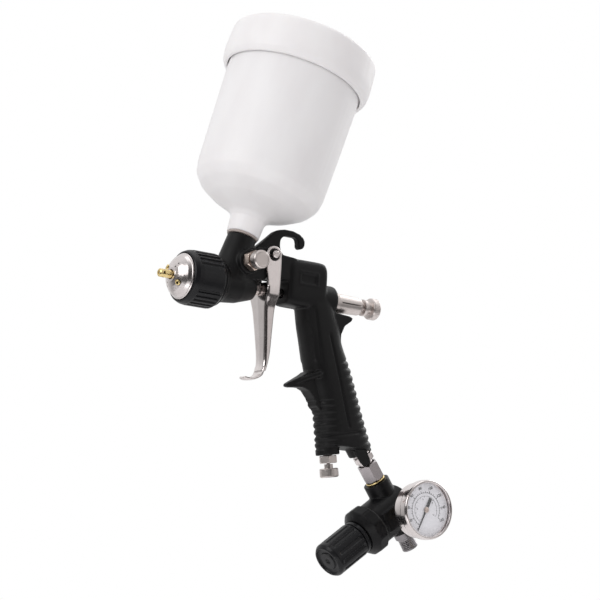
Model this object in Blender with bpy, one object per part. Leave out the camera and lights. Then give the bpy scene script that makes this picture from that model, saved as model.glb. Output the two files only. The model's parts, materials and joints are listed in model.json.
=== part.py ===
"""Gravity-feed spray gun with a nylon paint cup, a small air regulator and its gauge.

All driving dimensions are millimetres in the barrel frame: X runs rearward along the
needle axis, +Z up, the fan-control side is -Y, and x = 0 is the rim of the air cap.
Objects are placed in metres with the world origin at the hanging point, the inside
top of the hook.
"""
import math

import bpy
import bmesh
from mathutils import Matrix, Vector

for _ob in list(bpy.data.objects):
    bpy.data.objects.remove(_ob, do_unlink=True)

MM = 0.001

# ---------------------------------------------------------------- driving dimensions
HANG_X, HANG_Z = 87.0, 41.7            # inside top of the hook, barrel frame
GAP = 0.3                              # clearance between touching pieces

CUP_LEAN = 16.66                       # degrees, cup axis leaning rearward
CUP_X, CUP_Z = 85.97, 162.58           # lower edge of the lid's skirt on the cup axis
LID_R = 55.2
CUP_R_TOP, CUP_R_LOW = 49.6, 47.3
CUP_WALL = 2.1
CUP_SHOULDER_T = -131.6                # end of the white neck along the cup axis
PORT_R = 10.3                          # black fluid port on the gun
PORT_TOP_T = -133.4

RING_R, RING_END = 19.6, 26.0
HEAD_THREAD_R = 16.2
CAP_TURN = math.radians(40.0)            # rest turn of the air cap's side jets below level
HEAD_REAR_X = 58.5
BODY_FRONT_X, BODY_REAR_X = 84.0, 117.0
BODY_HALF = 12.0
BRIDGE_HALF = 10.3
BOSS_R, BOSS_END = 11.3, 128.3

PIVOT_X, PIVOT_Z = 68.5, 24.6
TRIG_SHEET = 1.6
TRIG_HALF = 12.7

FAN_X, FAN_Z = 46.1, 16.06
FAN_FACE_Y = -30.9

NEEDLE_R = 1.2
SLEEVE_R, SLEEVE_END = 6.2, 153.6
KNOB_R = 7.9

VALVE_X, VALVE_Z, VALVE_TILT = 134.9, -113.8, 10.0   # bottom air control
FLOW_TILT = 38.0                                     # inlet and regulator axis
FLOW_X, FLOW_Z = 194.07, -144.7
REG_KNOB_END, REG_KNOB_R = 68.8, 13.3
BONNET_R = 18.7
GAUGE_S = 1.0                                        # gauge port along the flow axis
GAUGE_FRONT, GAUGE_R = 45.15, 21.6

X_DIR = Vector((1.0, 0.0, 0.0))
Y_NEG = Vector((0.0, -1.0, 0.0))
_a = math.radians(CUP_LEAN)
CUP_DIR = Vector((math.sin(_a), 0.0, math.cos(_a)))
_a = math.radians(FLOW_TILT)
FLOW_DIR = Vector((math.sin(_a), 0.0, -math.cos(_a)))
KNOB_DIR = Vector((-math.cos(_a), 0.0, -math.sin(_a)))
_a = math.radians(VALVE_TILT)
VALVE_DIR = Vector((math.sin(_a), 0.0, -math.cos(_a)))

CUP_P = Vector((CUP_X, 0.0, CUP_Z))
O_P = Vector((0.0, 0.0, 0.0))
FLOW_P = Vector((FLOW_X, 0.0, FLOW_Z))
REG_P = FLOW_P.copy()
GAUGE_P = FLOW_P + FLOW_DIR * GAUGE_S
VALVE_P = Vector((VALVE_X, 0.0, VALVE_Z))
FAN_P = Vector((FAN_X, 0.0, FAN_Z))
PIVOT_P = Vector((PIVOT_X, 0.0, PIVOT_Z))

# ---------------------------------------------------------------- materials
FINISH = {
    "nylon": ((0.86, 0.86, 0.84), 0.45, 0.0),
    "black": ((0.018, 0.018, 0.020), 0.50, 0.0),
    "rubber": ((0.03, 0.03, 0.03), 0.80, 0.0),
    "nickel": ((0.72, 0.69, 0.66), 0.22, 1.0),
    "chrome": ((0.78, 0.77, 0.76), 0.10, 1.0),
    "brass": ((0.80, 0.62, 0.30), 0.25, 1.0),
    "steel": ((0.62, 0.62, 0.63), 0.30, 1.0),
    "glass": ((0.90, 0.92, 0.92), 0.05, 0.0),
    "dial": ((0.90, 0.90, 0.88), 0.55, 0.0),
    "ptfe": ((0.88, 0.87, 0.82), 0.55, 0.0),
}


def finish(ob, key):
    colour, rough, metal = FINISH[key]
    mat = bpy.data.materials.new(ob.name + "_finish")
    mat.use_nodes = True
    bsdf = mat.node_tree.nodes.get("Principled BSDF")
    bsdf.inputs["Base Color"].default_value = (*colour, 1.0)
    bsdf.inputs["Roughness"].default_value = rough
    bsdf.inputs["Metallic"].default_value = metal
    mat.diffuse_color = (*colour, 1.0)
    ob.data.materials.clear()
    ob.data.materials.append(mat)


# ---------------------------------------------------------------- building helpers
def axis_matrix(direction):
    """Rotation whose local +Z is the direction and whose local +Y stays across the gun."""
    z = direction.normalized()
    side = Vector((0.0, 1.0, 0.0))
    if abs(z.dot(side)) > 0.9:
        side = Vector((1.0, 0.0, 0.0))
    x = side.cross(z).normalized()
    y = z.cross(x).normalized()
    return Matrix((x, y, z)).transposed()


def to_object(name, bm, point, rot=None):
    """Closed mesh in millimetres about the point becomes an object in metres."""
    bmesh.ops.remove_doubles(bm, verts=bm.verts, dist=1e-5)
    bmesh.ops.recalc_face_normals(bm, faces=bm.faces)
    if bm.calc_volume(signed=True) < 0.0:
        bmesh.ops.reverse_faces(bm, faces=bm.faces)
    bmesh.ops.scale(bm, vec=(MM, MM, MM), verts=bm.verts)
    me = bpy.data.meshes.new(name)
    bm.to_mesh(me)
    bm.free()
    ob = bpy.data.objects.new(name, me)
    bpy.context.scene.collection.objects.link(ob)
    ob.location = (point - Vector((HANG_X, 0.0, HANG_Z))) * MM
    if rot is not None:
        ob.rotation_euler = rot.to_euler()
    me.shade_smooth()
    me.set_sharp_from_angle(angle=math.radians(35.0))
    return ob


def lathe_mesh(profile, seg, phase=0.0, wave=None):
    """Profile of (t, r) pairs turned about local Z; a tube if r never reaches zero."""
    bm = bmesh.new()
    loops = []
    for k, (t, r) in enumerate(profile):
        if r <= 1e-6:
            loops.append([bm.verts.new((0.0, 0.0, t))])
            continue
        loop = []
        for i in range(seg):
            a = phase + 2.0 * math.pi * i / seg
            rr = r if wave is None else wave(k, a, r)
            loop.append(bm.verts.new((rr * math.cos(a), rr * math.sin(a), t)))
        loops.append(loop)
    closed = len(loops[0]) > 1 and len(loops[-1]) > 1
    pairs = list(zip(loops[:-1], loops[1:]))
    if closed:
        pairs.append((loops[-1], loops[0]))
    for a, b in pairs:
        if len(a) == 1 and len(b) == 1:
            continue
        for i in range(seg):
            j = (i + 1) % seg
            if len(a) == 1:
                bm.faces.new((a[0], b[j], b[i]))
            elif len(b) == 1:
                bm.faces.new((a[i], a[j], b[0]))
            else:
                bm.faces.new((a[i], a[j], b[j], b[i]))
    return bm


def lathe(name, profile, point, direction, seg=16, phase=0.0, wave=None):
    return to_object(name, lathe_mesh(profile, seg, phase, wave), point, axis_matrix(direction))


def rod(name, t0, t1, r, point, direction, seg=16, phase=0.0):
    return lathe(name, [(t0, 0.0), (t0, r), (t1, r), (t1, 0.0)], point, direction, seg, phase)


def prism(name, outline, y0, y1, point=None):
    """Outline of (x, z) pairs in the symmetry plane, extruded across the gun."""
    point = O_P if point is None else point
    bm = bmesh.new()
    near = [bm.verts.new((x - point.x, y0, z - point.z)) for x, z in outline]
    far = [bm.verts.new((x - point.x, y1, z - point.z)) for x, z in outline]
    bm.faces.new(near)
    bm.faces.new(list(reversed(far)))
    n = len(outline)
    for i in range(n):
        j = (i + 1) % n
        bm.faces.new((near[j], near[i], far[i], far[j]))
    return to_object(name, bm, point)


def oval(cx, cy, hx, hy, power, count):
    """Points of a rounded rectangle written as a superellipse."""
    pts = []
    for i in range(count):
        a = 2.0 * math.pi * i / count
        c, s = math.cos(a), math.sin(a)
        pts.append((cx + hx * math.copysign(abs(c) ** (2.0 / power), c),
                    cy + hy * math.copysign(abs(s) ** (2.0 / power), s)))
    return pts


def loft(name, rings, point=None):
    """Closed skin over equal-count rings of 3-D points."""
    point = O_P if point is None else point
    bm = bmesh.new()
    loops = [[bm.verts.new(Vector(p) - point) for p in ring] for ring in rings]
    n = len(loops[0])
    for a, b in zip(loops[:-1], loops[1:]):
        for i in range(n):
            j = (i + 1) % n
            bm.faces.new((a[i], a[j], b[j], b[i]))
    bm.faces.new(list(reversed(loops[0])))
    bm.faces.new(loops[-1])
    return to_object(name, bm, point)


def combine(target, tools, operation):
    """One exact Boolean of all the tools onto the target; the tools are then removed."""
    group = bpy.data.collections.new("tools")
    bpy.context.scene.collection.children.link(group)
    for tool in tools:
        tool.hide_render = True
        tool.display_type = "WIRE"
        group.objects.link(tool)
    mod = target.modifiers.new("cut", "BOOLEAN")
    mod.operation = operation
    mod.solver = "EXACT"
    mod.operand_type = "COLLECTION"
    mod.collection = group
    bpy.context.view_layer.update()
    dg = bpy.context.evaluated_depsgraph_get()
    me = bpy.data.meshes.new_from_object(target.evaluated_get(dg))
    target.modifiers.clear()
    old = target.data
    target.data = me
    me.name = old.name
    bpy.data.meshes.remove(old)
    for tool in tools:
        bpy.data.objects.remove(tool, do_unlink=True)
    bpy.data.collections.remove(group)
    bm = bmesh.new()
    bm.from_mesh(target.data)
    bmesh.ops.remove_doubles(bm, verts=bm.verts, dist=1e-6)
    bmesh.ops.dissolve_degenerate(bm, edges=bm.edges, dist=5e-7)
    bm.to_mesh(target.data)
    bm.free()
    target.data.shade_smooth()
    target.data.set_sharp_from_angle(angle=math.radians(35.0))
    return target


def spring(name, t0, t1, mean_r, wire_r, turns, point, direction, sides=4, per_turn=8):
    """Open coil of round wire with closed ends."""
    bm = bmesh.new()
    count = int(turns * per_turn) + 1
    loops = []
    for k in range(count):
        u = k / (count - 1)
        a = 2.0 * math.pi * turns * u
        t = t0 + wire_r + (t1 - t0 - 2.0 * wire_r) * u
        centre = Vector((mean_r * math.cos(a), mean_r * math.sin(a), t))
        radial = Vector((math.cos(a), math.sin(a), 0.0))
        up = Vector((0.0, 0.0, 1.0))
        loops.append([bm.verts.new(centre + radial * wire_r * math.cos(b) + up * wire_r * math.sin(b))
                      for b in (2.0 * math.pi * i / sides for i in range(sides))])
    for a, b in zip(loops[:-1], loops[1:]):
        for i in range(sides):
            j = (i + 1) % sides
            bm.faces.new((a[i], a[j], b[j], b[i]))
    bm.faces.new(list(reversed(loops[0])))
    bm.faces.new(loops[-1])
    return to_object(name, bm, point, axis_matrix(direction))


# ================================================================ paint cup
T = CUP_SHOULDER_T
cup = lathe("cup", [
    (15.5, CUP_R_TOP), (-20.0, 49.2), (-55.0, 48.3), (-89.5, CUP_R_LOW), (-95.2, 46.2),
    (-101.6, 41.4), (-108.2, 31.4), (-113.0, 20.8), (-116.6, 14.6), (-120.0, 12.6),
    (T, 11.8), (T, 7.2), (-144.5, 7.2), (-144.5, 5.0), (-122.3, 5.0), (-122.3, 8.2),
    (-116.5, 9.4), (-110.0, 19.4), (-104.9, 29.2), (-98.6, 38.9), (-93.2, 43.6),
    (-88.8, CUP_R_LOW - CUP_WALL), (-55.0, 46.2), (-20.0, 47.1), (15.5, CUP_R_TOP - CUP_WALL)],
    CUP_P, CUP_DIR, seg=36)
finish(cup, "nylon")

cup_lid = lathe("cup_lid", [
    (21.0, 0.0), (21.0, 50.8), (20.3, 53.0), (18.3, 54.2), (0.0, LID_R), (-6.0, 54.4),
    (-9.2, 52.4), (-9.5, 50.1), (17.9, 50.1), (17.9, 0.0)], CUP_P, CUP_DIR, seg=40)
vent_point = CUP_P + axis_matrix(CUP_DIR) @ Vector((28.0, 0.0, 0.0))
combine(cup_lid, [rod("vent_cut", 15.0, 24.0, 2.9, vent_point, CUP_DIR, 12)], "DIFFERENCE")
finish(cup_lid, "nylon")

lid_gasket = lathe("lid_gasket", [(15.9, 46.2), (15.9, 49.7), (17.5, 49.7), (17.5, 46.2)],
                   CUP_P, CUP_DIR, seg=40)
finish(lid_gasket, "ptfe")

vent = lathe("lid_vent_plug", [(16.8, 0.0), (16.8, 2.5), (21.3, 2.5), (21.3, 5.0),
                               (23.0, 4.7), (23.6, 3.2), (23.6, 0.0)],
             vent_point, CUP_DIR, seg=14)
finish(vent, "nylon")

strainer = lathe("cup_strainer", [
    (-98.8, 0.0), (-98.8, 4.4), (-100.0, 5.5), (-120.8, 6.5), (-120.8, 7.8), (-122.0, 7.8),
    (-122.0, 5.3), (-120.4, 5.3), (-100.8, 4.5), (-99.8, 3.8), (-99.8, 0.0)],
    CUP_P, CUP_DIR, seg=16)
finish(strainer, "nylon")

cup_seal = lathe("cup_seal", [(-133.1, 7.6), (-133.1, 11.2), (-131.9, 11.2), (-131.9, 7.6)],
                 CUP_P, CUP_DIR, seg=20)
finish(cup_seal, "ptfe")

# ================================================================ gun body
body = lathe("gun_body", [
    (9.5, 0.0), (9.5, HEAD_THREAD_R), (RING_END + GAP, HEAD_THREAD_R), (RING_END + GAP, 17.9),
    (27.4, 17.5), (31.8, 13.4), (45.0, 12.4), (HEAD_REAR_X, 8.6), (HEAD_REAR_X, 0.0)],
    O_P, X_DIR, seg=28)

port = lathe("u_port", [(-166.0, 0.0), (-166.0, 13.4), (-152.0, 11.9), (PORT_TOP_T, PORT_R), (PORT_TOP_T, 0.0)],
             CUP_P, CUP_DIR, 24)
fan_boss = rod("u_fan_boss", -6.0, 16.0, 8.8, FAN_P, Y_NEG, 18)

bridge = prism("u_bridge", [
    (41.0, 5.2), (62.5, 5.2), (66.0, 8.6), (90.0, 8.6), (90.0, 25.2), (77.0, 26.2), (74.2, 29.0),
    (70.6, 30.4), (66.2, 30.2), (61.0, 28.6), (53.0, 27.6), (47.0, 25.6)], -BRIDGE_HALF, BRIDGE_HALF)

barrel_rings = []
for x, zc, hz, hy in ((BODY_FRONT_X, 8.5, 16.0, 9.9), (86.5, 8.5, 16.9, 11.6),
                      (93.0, 8.5, 17.2, BODY_HALF), (112.0, 8.5, 17.2, BODY_HALF),
                      (115.8, 8.0, 16.4, 11.4), (BODY_REAR_X, 7.6, 15.0, 10.4)):
    barrel_rings.append([(x, y, z) for y, z in oval(0.0, zc, hy, hz, 5.0, 24)])
rear_block = loft("u_rear_block", barrel_rings)
boss = lathe("u_rear_boss", [(110.0, 0.0), (110.0, BOSS_R), (BOSS_END - 1.2, BOSS_R),
                             (BOSS_END, BOSS_R - 1.2), (BOSS_END, 0.0)], O_P, X_DIR, 24)

HANDLE = (  # z, centre x, half depth, half width
    (4.0, 111.0, 13.6, 11.4), (-9.0, 114.8, 14.2, 12.0), (-20.0, 118.2, 15.8, 12.2),
    (-30.0, 121.2, 15.6, 12.4), (-40.0, 125.0, 16.8, 12.7), (-48.0, 128.3, 18.0, 12.9),
    (-60.0, 132.8, 18.6, 13.0), (-72.0, 137.8, 18.6, 12.9), (-85.0, 142.1, 19.9, 12.9),
    (-97.0, 145.8, 21.6, 13.1), (-104.5, 147.6, 22.3, 13.2))
handle_rings = []
for z, cx, hx, hy in HANDLE:
    handle_rings.append([(x, y, z) for x, y in oval(cx, 0.0, hx, hy, 2.6, 24)])
handle = loft("u_handle", list(reversed(handle_rings)))

spur = loft("u_spur", [[(x, -w, low), (x, w, low), (x, w, top), (x, -w, top)] for x, top, low, w in (
    (93.0, -64.4, -65.8, 2.8), (95.0, -62.8, -66.5, 3.2), (100.5, -59.6, -65.6, 4.1), (105.8, -56.4, -65.3, 5.0),
    (110.8, -53.0, -67.0, 5.6), (115.4, -51.7, -71.9, 5.6), (119.0, -51.0, -79.0, 5.6), (125.0, -50.0, -82.0, 5.6))])
tang = prism("u_tang", [
    (116.0, -4.0), (127.4, -8.3), (133.0, -8.7), (141.4, -9.4), (143.6, -10.6), (142.4, -13.0),
    (137.0, -17.0), (134.2, -23.6), (134.0, -30.0), (118.0, -30.0)], -8.6, 8.6)
hook = prism("u_hook", [
    (57.0, 27.0), (59.3, 30.0), (66.6, 36.4), (73.9, 43.0), (78.0, 45.2), (82.8, 46.2), (90.0, 46.2),
    (96.1, 44.6), (99.6, 42.2), (100.9, 39.8), (100.9, 37.4), (100.2, 35.4), (98.8, 34.2),
    (97.2, 33.8), (95.7, 34.6), (95.0, 36.3), (94.9, 38.8), (94.2, 40.7), (92.6, HANG_Z),
    (84.6, HANG_Z), (82.0, 40.7), (80.2, 39.0), (79.5, 37.2), (79.4, 33.9), (80.6, 30.0),
    (85.4, 25.2), (85.4, 16.0), (57.0, 16.0)], -2.9, 2.9)
valve_boss = rod("u_valve_boss", -26.0, -3.1, 8.7, VALVE_P, VALVE_DIR, 20)
inlet_boss = rod("u_inlet_boss", -80.0, -50.0, 9.3, FLOW_P, FLOW_DIR, 20)
combine(body, [port, fan_boss, bridge, rear_block, boss, handle, spur, tang, hook,
               valve_boss, inlet_boss], "UNION")

cuts = [
    lathe("c_nozzle", [(8.0, 0.0), (8.0, 7.2), (23.0, 7.2), (23.0, 4.6), (46.0, 4.6), (46.0, 1.7),
                       (50.0, 1.7), (50.0, 3.6), (60.0, 3.6), (60.0, 0.0)], O_P, X_DIR, 16),
    lathe("c_air_ring", [(8.0, 9.4), (8.0, 13.4), (15.0, 13.4), (15.0, 9.4)], O_P, X_DIR, 20),
    rod("c_air_passage", 13.0, 100.0, 1.8, Vector((0.0, 6.0, 8.4)), X_DIR, 10),
    lathe("c_cup_port", [(-130.0, 0.0), (-130.0, 7.5), (-146.0, 7.5), (-146.0, 4.2),
                         (-169.0, 4.2), (-169.0, 0.0)], CUP_P, CUP_DIR, 16),
    rod("c_fan", 6.6, 18.0, 3.6, FAN_P, Y_NEG, 14),
    rod("c_pivot", -12.0, 12.0, 2.7, PIVOT_P, Y_NEG, 14),
    lathe("c_air_valve", [(82.0, 0.0), (82.0, 3.5), (94.0, 3.5), (94.0, 6.5), (130.0, 6.5), (130.0, 0.0)],
          O_P, X_DIR, 18),
    rod("c_handle_air", 0.0, 102.0, 3.6, Vector((112.0, 0.0, -3.0)),
        Vector((152.0, 0.0, -96.0)) - Vector((112.0, 0.0, -3.0)), 12),
    rod("c_valve", -27.0, -1.0, 3.8, VALVE_P, VALVE_DIR, 14),
    rod("c_inlet", -70.0, -46.0, 6.0, FLOW_P, FLOW_DIR, 16),
    rod("c_inlet_face", -48.1, -34.0, 11.0, FLOW_P, FLOW_DIR, 20),
    prism("c_label", [(93.4, 9.4), (94.6, 8.4), (105.8, 8.4), (107.0, 9.4), (107.0, 14.2),
                      (105.8, 15.2), (94.6, 15.2), (93.4, 14.2)], -13.0, -11.3),
]
combine(body, cuts, "DIFFERENCE")
TAB_P = FLOW_P + FLOW_DIR * -49.5
TAB_OUT = (Y_NEG * 0.84 + KNOB_DIR * 0.54).normalized()
TAB_ALONG = TAB_OUT.cross(FLOW_DIR).normalized()
tab = loft("u_tab", [[TAB_P + FLOW_DIR * s + TAB_ALONG * w * k + TAB_OUT * d for k, d in (
    (-1.0, 8.5), (1.0, 8.5), (1.0, 10.2), (-1.0, 10.2))] for s, w in ((-6.5, 4.4), (4.0, 3.9), (8.0, 2.6))])
combine(body, [tab], "UNION")
finish(body, "black")

# ================================================================ air head
ring = lathe("air_cap_ring", [
    (-0.5, 16.9), (0.5, 18.2), (3.0, 19.2), (6.2, RING_R), (24.4, RING_R), (RING_END, 18.2),
    (RING_END, 16.5), (8.2, 16.5), (8.2, 17.9), (1.8, 17.9), (1.8, 16.8)], O_P, X_DIR, 28)
finish(ring, "black")

cap = lathe("air_cap", [
    (7.8, 17.5), (2.1, 17.5), (2.1, 16.4), (-0.8, 16.3), (-3.6, 14.4), (-6.2, 11.6), (-8.2, 8.4),
    (-9.2, 5.6), (-9.6, 3.5), (-7.8, 3.5), (-7.4, 5.6), (-5.2, 8.6), (-1.2, 12.4), (1.6, 14.2), (7.8, 14.4)],
    O_P, X_DIR, 24)
jet_points = {}
for tag, side in (("near", -1.0), ("far", 1.0)):
    across = Vector((0.0, math.cos(CAP_TURN), math.sin(CAP_TURN))) * side
    direction = (Vector((-0.80, 0.0, 0.0)) + across * 0.60).normalized()
    centre = Vector((-6.2, 0.0, 0.0)) + across * 8.4
    jet_points[tag] = (centre, direction)
combine(cap, [rod("c_jet_" + k, -5.0, 5.0, 2.3, p, d, 12) for k, (p, d) in jet_points.items()],
        "DIFFERENCE")
finish(cap, "nickel")
for tag, (p, d) in jet_points.items():
    jet = lathe("side_jet_" + tag, [(-2.6, 0.9), (-2.6, 1.9), (2.4, 1.9), (3.0, 1.5), (3.0, 0.9)],
                p, d, 12)
    finish(jet, "brass")

nozzle = lathe("fluid_nozzle", [
    (-19.2, 2.3), (-18.6, 3.0), (-6.8, 3.0), (-4.3, 4.6), (1.0, 6.2), (4.0, 6.2), (4.0, 8.2),
    (8.6, 8.2), (8.6, 6.8), (22.0, 6.8), (22.0, 3.4), (2.0, 3.4), (-4.0, 2.0), (-16.5, 1.7),
    (-19.2, 1.1)], O_P, X_DIR, 18)
combine(nozzle, [rod("c_cross", -6.0, 6.0, 0.75, Vector((-16.2, 0.0, 0.0)), Y_NEG, 8)], "DIFFERENCE")
finish(nozzle, "brass")

baffle = lathe("air_baffle", [(5.2, 8.6), (5.2, 12.4), (9.1, 12.4), (9.1, 8.6)], O_P, X_DIR, 20)
finish(baffle, "brass")
nozzle_gasket = lathe("nozzle_gasket", [(8.9, 7.4), (8.9, 8.3), (9.2, 8.3), (9.2, 7.4)], O_P, X_DIR, 16)
finish(nozzle_gasket, "ptfe")

needle = lathe("fluid_needle", [
    (-19.0, 0.0), (-18.8, 0.5), (-15.5, NEEDLE_R), (127.8, NEEDLE_R), (127.8, 3.4), (131.0, 3.4),
    (131.0, NEEDLE_R), (140.0, NEEDLE_R), (140.0, 0.0)], O_P, X_DIR, 12)
finish(needle, "steel")
packing = lathe("needle_packing", [(50.3, 1.6), (50.3, 3.3), (55.4, 3.3), (55.4, 1.6)], O_P, X_DIR, 14)
finish(packing, "ptfe")
packing_nut = lathe("packing_nut", [(55.7, 1.6), (55.7, 3.3), (58.8, 3.3), (58.8, 4.3), (63.6, 4.3), (63.6, 1.6)],
                    O_P, X_DIR, 12)
finish(packing_nut, "nickel")

# ================================================================ fan control
fan_nut = lathe("fan_valve_nut", [
    (7.0, 1.6), (7.0, 3.3), (16.3, 3.3), (16.3, 7.4), (22.6, 7.4), (22.6, 1.6)], FAN_P, Y_NEG, 12)
combine(fan_nut, [prism("c_fan_hex_%d" % k, [
    (FAN_X + math.cos(a) * 6.5 - math.sin(a) * 6, FAN_Z + math.sin(a) * 6.5 + math.cos(a) * 6),
    (FAN_X + math.cos(a) * 10 - math.sin(a) * 6, FAN_Z + math.sin(a) * 10 + math.cos(a) * 6),
    (FAN_X + math.cos(a) * 10 + math.sin(a) * 6, FAN_Z + math.sin(a) * 10 - math.cos(a) * 6),
    (FAN_X + math.cos(a) * 6.5 + math.sin(a) * 6, FAN_Z + math.sin(a) * 6.5 - math.cos(a) * 6)],
    -25.0, -14.0) for k, a in enumerate(math.radians(60.0 * i + 30.0) for i in range(6))], "DIFFERENCE")
finish(fan_nut, "nickel")
fan_stem = lathe("fan_valve_stem", [(7.4, 0.0), (7.4, 0.4), (9.0, NEEDLE_R), (28.0, NEEDLE_R), (28.0, 0.0)],
                 FAN_P, Y_NEG, 10)
finish(fan_stem, "steel")
fan_knob = lathe("fan_knob", [
    (23.0, 1.6), (23.0, 4.2), (24.2, 4.2), (24.2, 6.5), (30.2, 6.57), (30.9, 5.9), (30.9, 0.0),
    (28.4, 0.0), (28.4, 1.6)], FAN_P, Y_NEG, 20)
finish(fan_knob, "nickel")

# ================================================================ trigger
TRIG = (  # z, front x, rear x, half width
    (4.6, 64.4, 75.1, TRIG_HALF), (-3.0, 64.7, 75.1, 12.4), (-10.0, 65.4, 74.3, 10.2),
    (-16.0, 66.2, 74.0, 9.0), (-30.0, 68.0, 74.2, 7.8), (-45.0, 69.6, 74.3, 6.6),
    (-53.0, 69.9, 73.2, 6.3), (-58.0, 68.8, 71.9, 6.2))
rings = []
s = TRIG_SHEET
for z, xf, xr, w in TRIG:
    wi = w - s
    rings.append([(xr, -w, z), (xf + 0.6, -w, z), (xf, -w + 0.9, z), (xf, w - 0.9, z), (xf + 0.6, w, z),
                  (xr, w, z), (xr, wi, z), (xf + s, wi, z), (xf + s, -wi, z), (xr, -wi, z)])
trigger = loft("trigger", list(reversed(rings)), PIVOT_P)
lip_rings = []
for (x, z), (nx, nz), w in (((69.6, -56.5), (1.0, 0.0), 6.1), ((67.8, -60.6), (0.75, -0.66), 6.1),
                            ((63.6, -63.0), (0.30, -0.95), 6.0), ((59.6, -63.6), (0.20, -0.98), 5.8),
                            ((56.6, -64.2), (0.25, -0.97), 5.0)):
    lip_rings.append([(x, -w, z), (x, w, z), (x + nx * 1.9, w, z + nz * 1.9), (x + nx * 1.9, -w, z + nz * 1.9)])
lip = loft("u_lip", lip_rings)
ears = []
for tag, y0, y1 in (("near", -TRIG_HALF, -TRIG_HALF + s), ("far", TRIG_HALF - s, TRIG_HALF)):
    top = [(PIVOT_X + 6.3 * math.cos(a), PIVOT_Z + 6.3 * math.sin(a))
           for a in (math.radians(180.0 - 15.0 * i) for i in range(13))]
    ears.append(prism("u_ear_" + tag, [(64.4, 2.0), (62.4, 12.9)] + top + [(75.2, 12.0), (75.1, 2.0)], y0, y1))
combine(trigger, [lip] + ears, "UNION")
combine(trigger, [
    rod("c_ear", -16.0, 16.0, 4.4, PIVOT_P, Y_NEG, 18),
    prism("c_slot", [(62.0, -2.8), (68.0, -2.8), (68.0, 8.0), (62.0, 8.0)], -2.8, 2.8)], "DIFFERENCE")
finish(trigger, "chrome")

stud = lathe("trigger_pivot_stud", [
    (-12.0, 1.7), (-12.0, 2.4), (12.4, 2.4), (12.4, 2.75), (15.0, 2.75), (15.5, 2.2), (15.5, 0.0),
    (-3.0, 0.0), (-3.0, 1.7)], PIVOT_P, Y_NEG, 16)
finish(stud, "nickel")
screw = lathe("trigger_screw", [(-3.6, 0.0), (-3.6, 1.4), (-12.9, 1.4), (-12.9, 3.4), (-14.6, 3.1), (-15.0, 2.2),
                                (-15.0, 0.0)], PIVOT_P, Y_NEG, 14)
finish(screw, "nickel")
for tag, side in (("near", 1.0), ("far", -1.0)):
    bush = lathe("trigger_bush_" + tag, [(10.6 * side, 3.0), (10.6 * side, 4.1), (12.2 * side, 4.1), (12.2 * side, 3.0)],
                 PIVOT_P, Y_NEG, 16)
    finish(bush, "black")

# ================================================================ air valve and needle return
valve_stem = lathe("air_valve_stem", [
    (66.9, 1.6), (66.9, 4.2), (68.2, 4.6), (68.6, 2.9), (98.8, 2.9), (98.8, 5.4), (102.0, 5.4),
    (102.0, 2.9), (107.0, 2.9), (107.0, 1.6)], O_P, X_DIR, 16)
finish(valve_stem, "nickel")
seat = lathe("air_valve_seat", [(94.3, 3.3), (94.3, 6.2), (98.4, 6.2), (98.4, 3.3)], O_P, X_DIR, 16)
finish(seat, "ptfe")
valve_spring = spring("air_valve_spring", 102.4, 118.9, 4.9, 0.5, 5.0, O_P, X_DIR)
finish(valve_spring, "steel")
stop = lathe("needle_stop_nut", [(109.2, 1.5), (109.2, 3.0), (112.2, 3.0), (112.2, 1.5)], O_P, X_DIR, 12)
finish(stop, "nickel")
sleeve = lathe("fluid_sleeve", [
    (119.3, 2.4), (119.3, 6.2), (BOSS_END + GAP, 6.2), (BOSS_END + GAP, 7.6), (SLEEVE_END - 0.8, SLEEVE_R + 0.2),
    (SLEEVE_END, SLEEVE_R - 0.4), (SLEEVE_END, 3.9), (123.0, 3.9), (123.0, 2.4)], O_P, X_DIR, 24)
combine(sleeve, [prism("c_slit", [(131.0, -0.8), (157.0, -0.8), (157.0, 0.8), (131.0, 0.8)], -9.0, -1.0)], "DIFFERENCE")
finish(sleeve, "nickel")
needle_spring = spring("needle_spring", 131.4, 150.0, 2.85, 0.45, 6.0, O_P, X_DIR)
finish(needle_spring, "steel")
fluid_knob = lathe("fluid_knob", [
    (150.4, 0.0), (150.4, 3.5), (156.4, 3.5), (156.4, 5.9), (159.4, 5.9), (160.0, 4.4), (163.0, 4.4),
    (163.6, KNOB_R), (168.6, KNOB_R), (169.4, 5.6), (169.4, 0.0)], O_P, X_DIR, 20)
finish(fluid_knob, "nickel")

# ================================================================ bottom air control
flow_nut = lathe("air_flow_nut", [(-14.0, 2.0), (-14.0, 3.5), (-2.8, 3.5), (-2.8, 6.9), (2.8, 6.9), (2.8, 2.0)],
                 VALVE_P, VALVE_DIR, 6)
finish(flow_nut, "nickel")
flow_stem = lathe("air_flow_stem", [(-17.0, 0.0), (-15.5, 1.4), (9.4, 1.4), (9.4, 0.0)], VALVE_P, VALVE_DIR, 10)
finish(flow_stem, "steel")
flow_knob = lathe("air_flow_knob", [
    (3.4, 1.8), (3.4, 3.2), (6.4, 3.2), (6.4, 6.7), (12.2, 6.9), (13.0, 6.2), (13.0, 0.0), (9.8, 0.0), (9.8, 1.8)],
    VALVE_P, VALVE_DIR, 20)
finish(flow_knob, "nickel")

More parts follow.
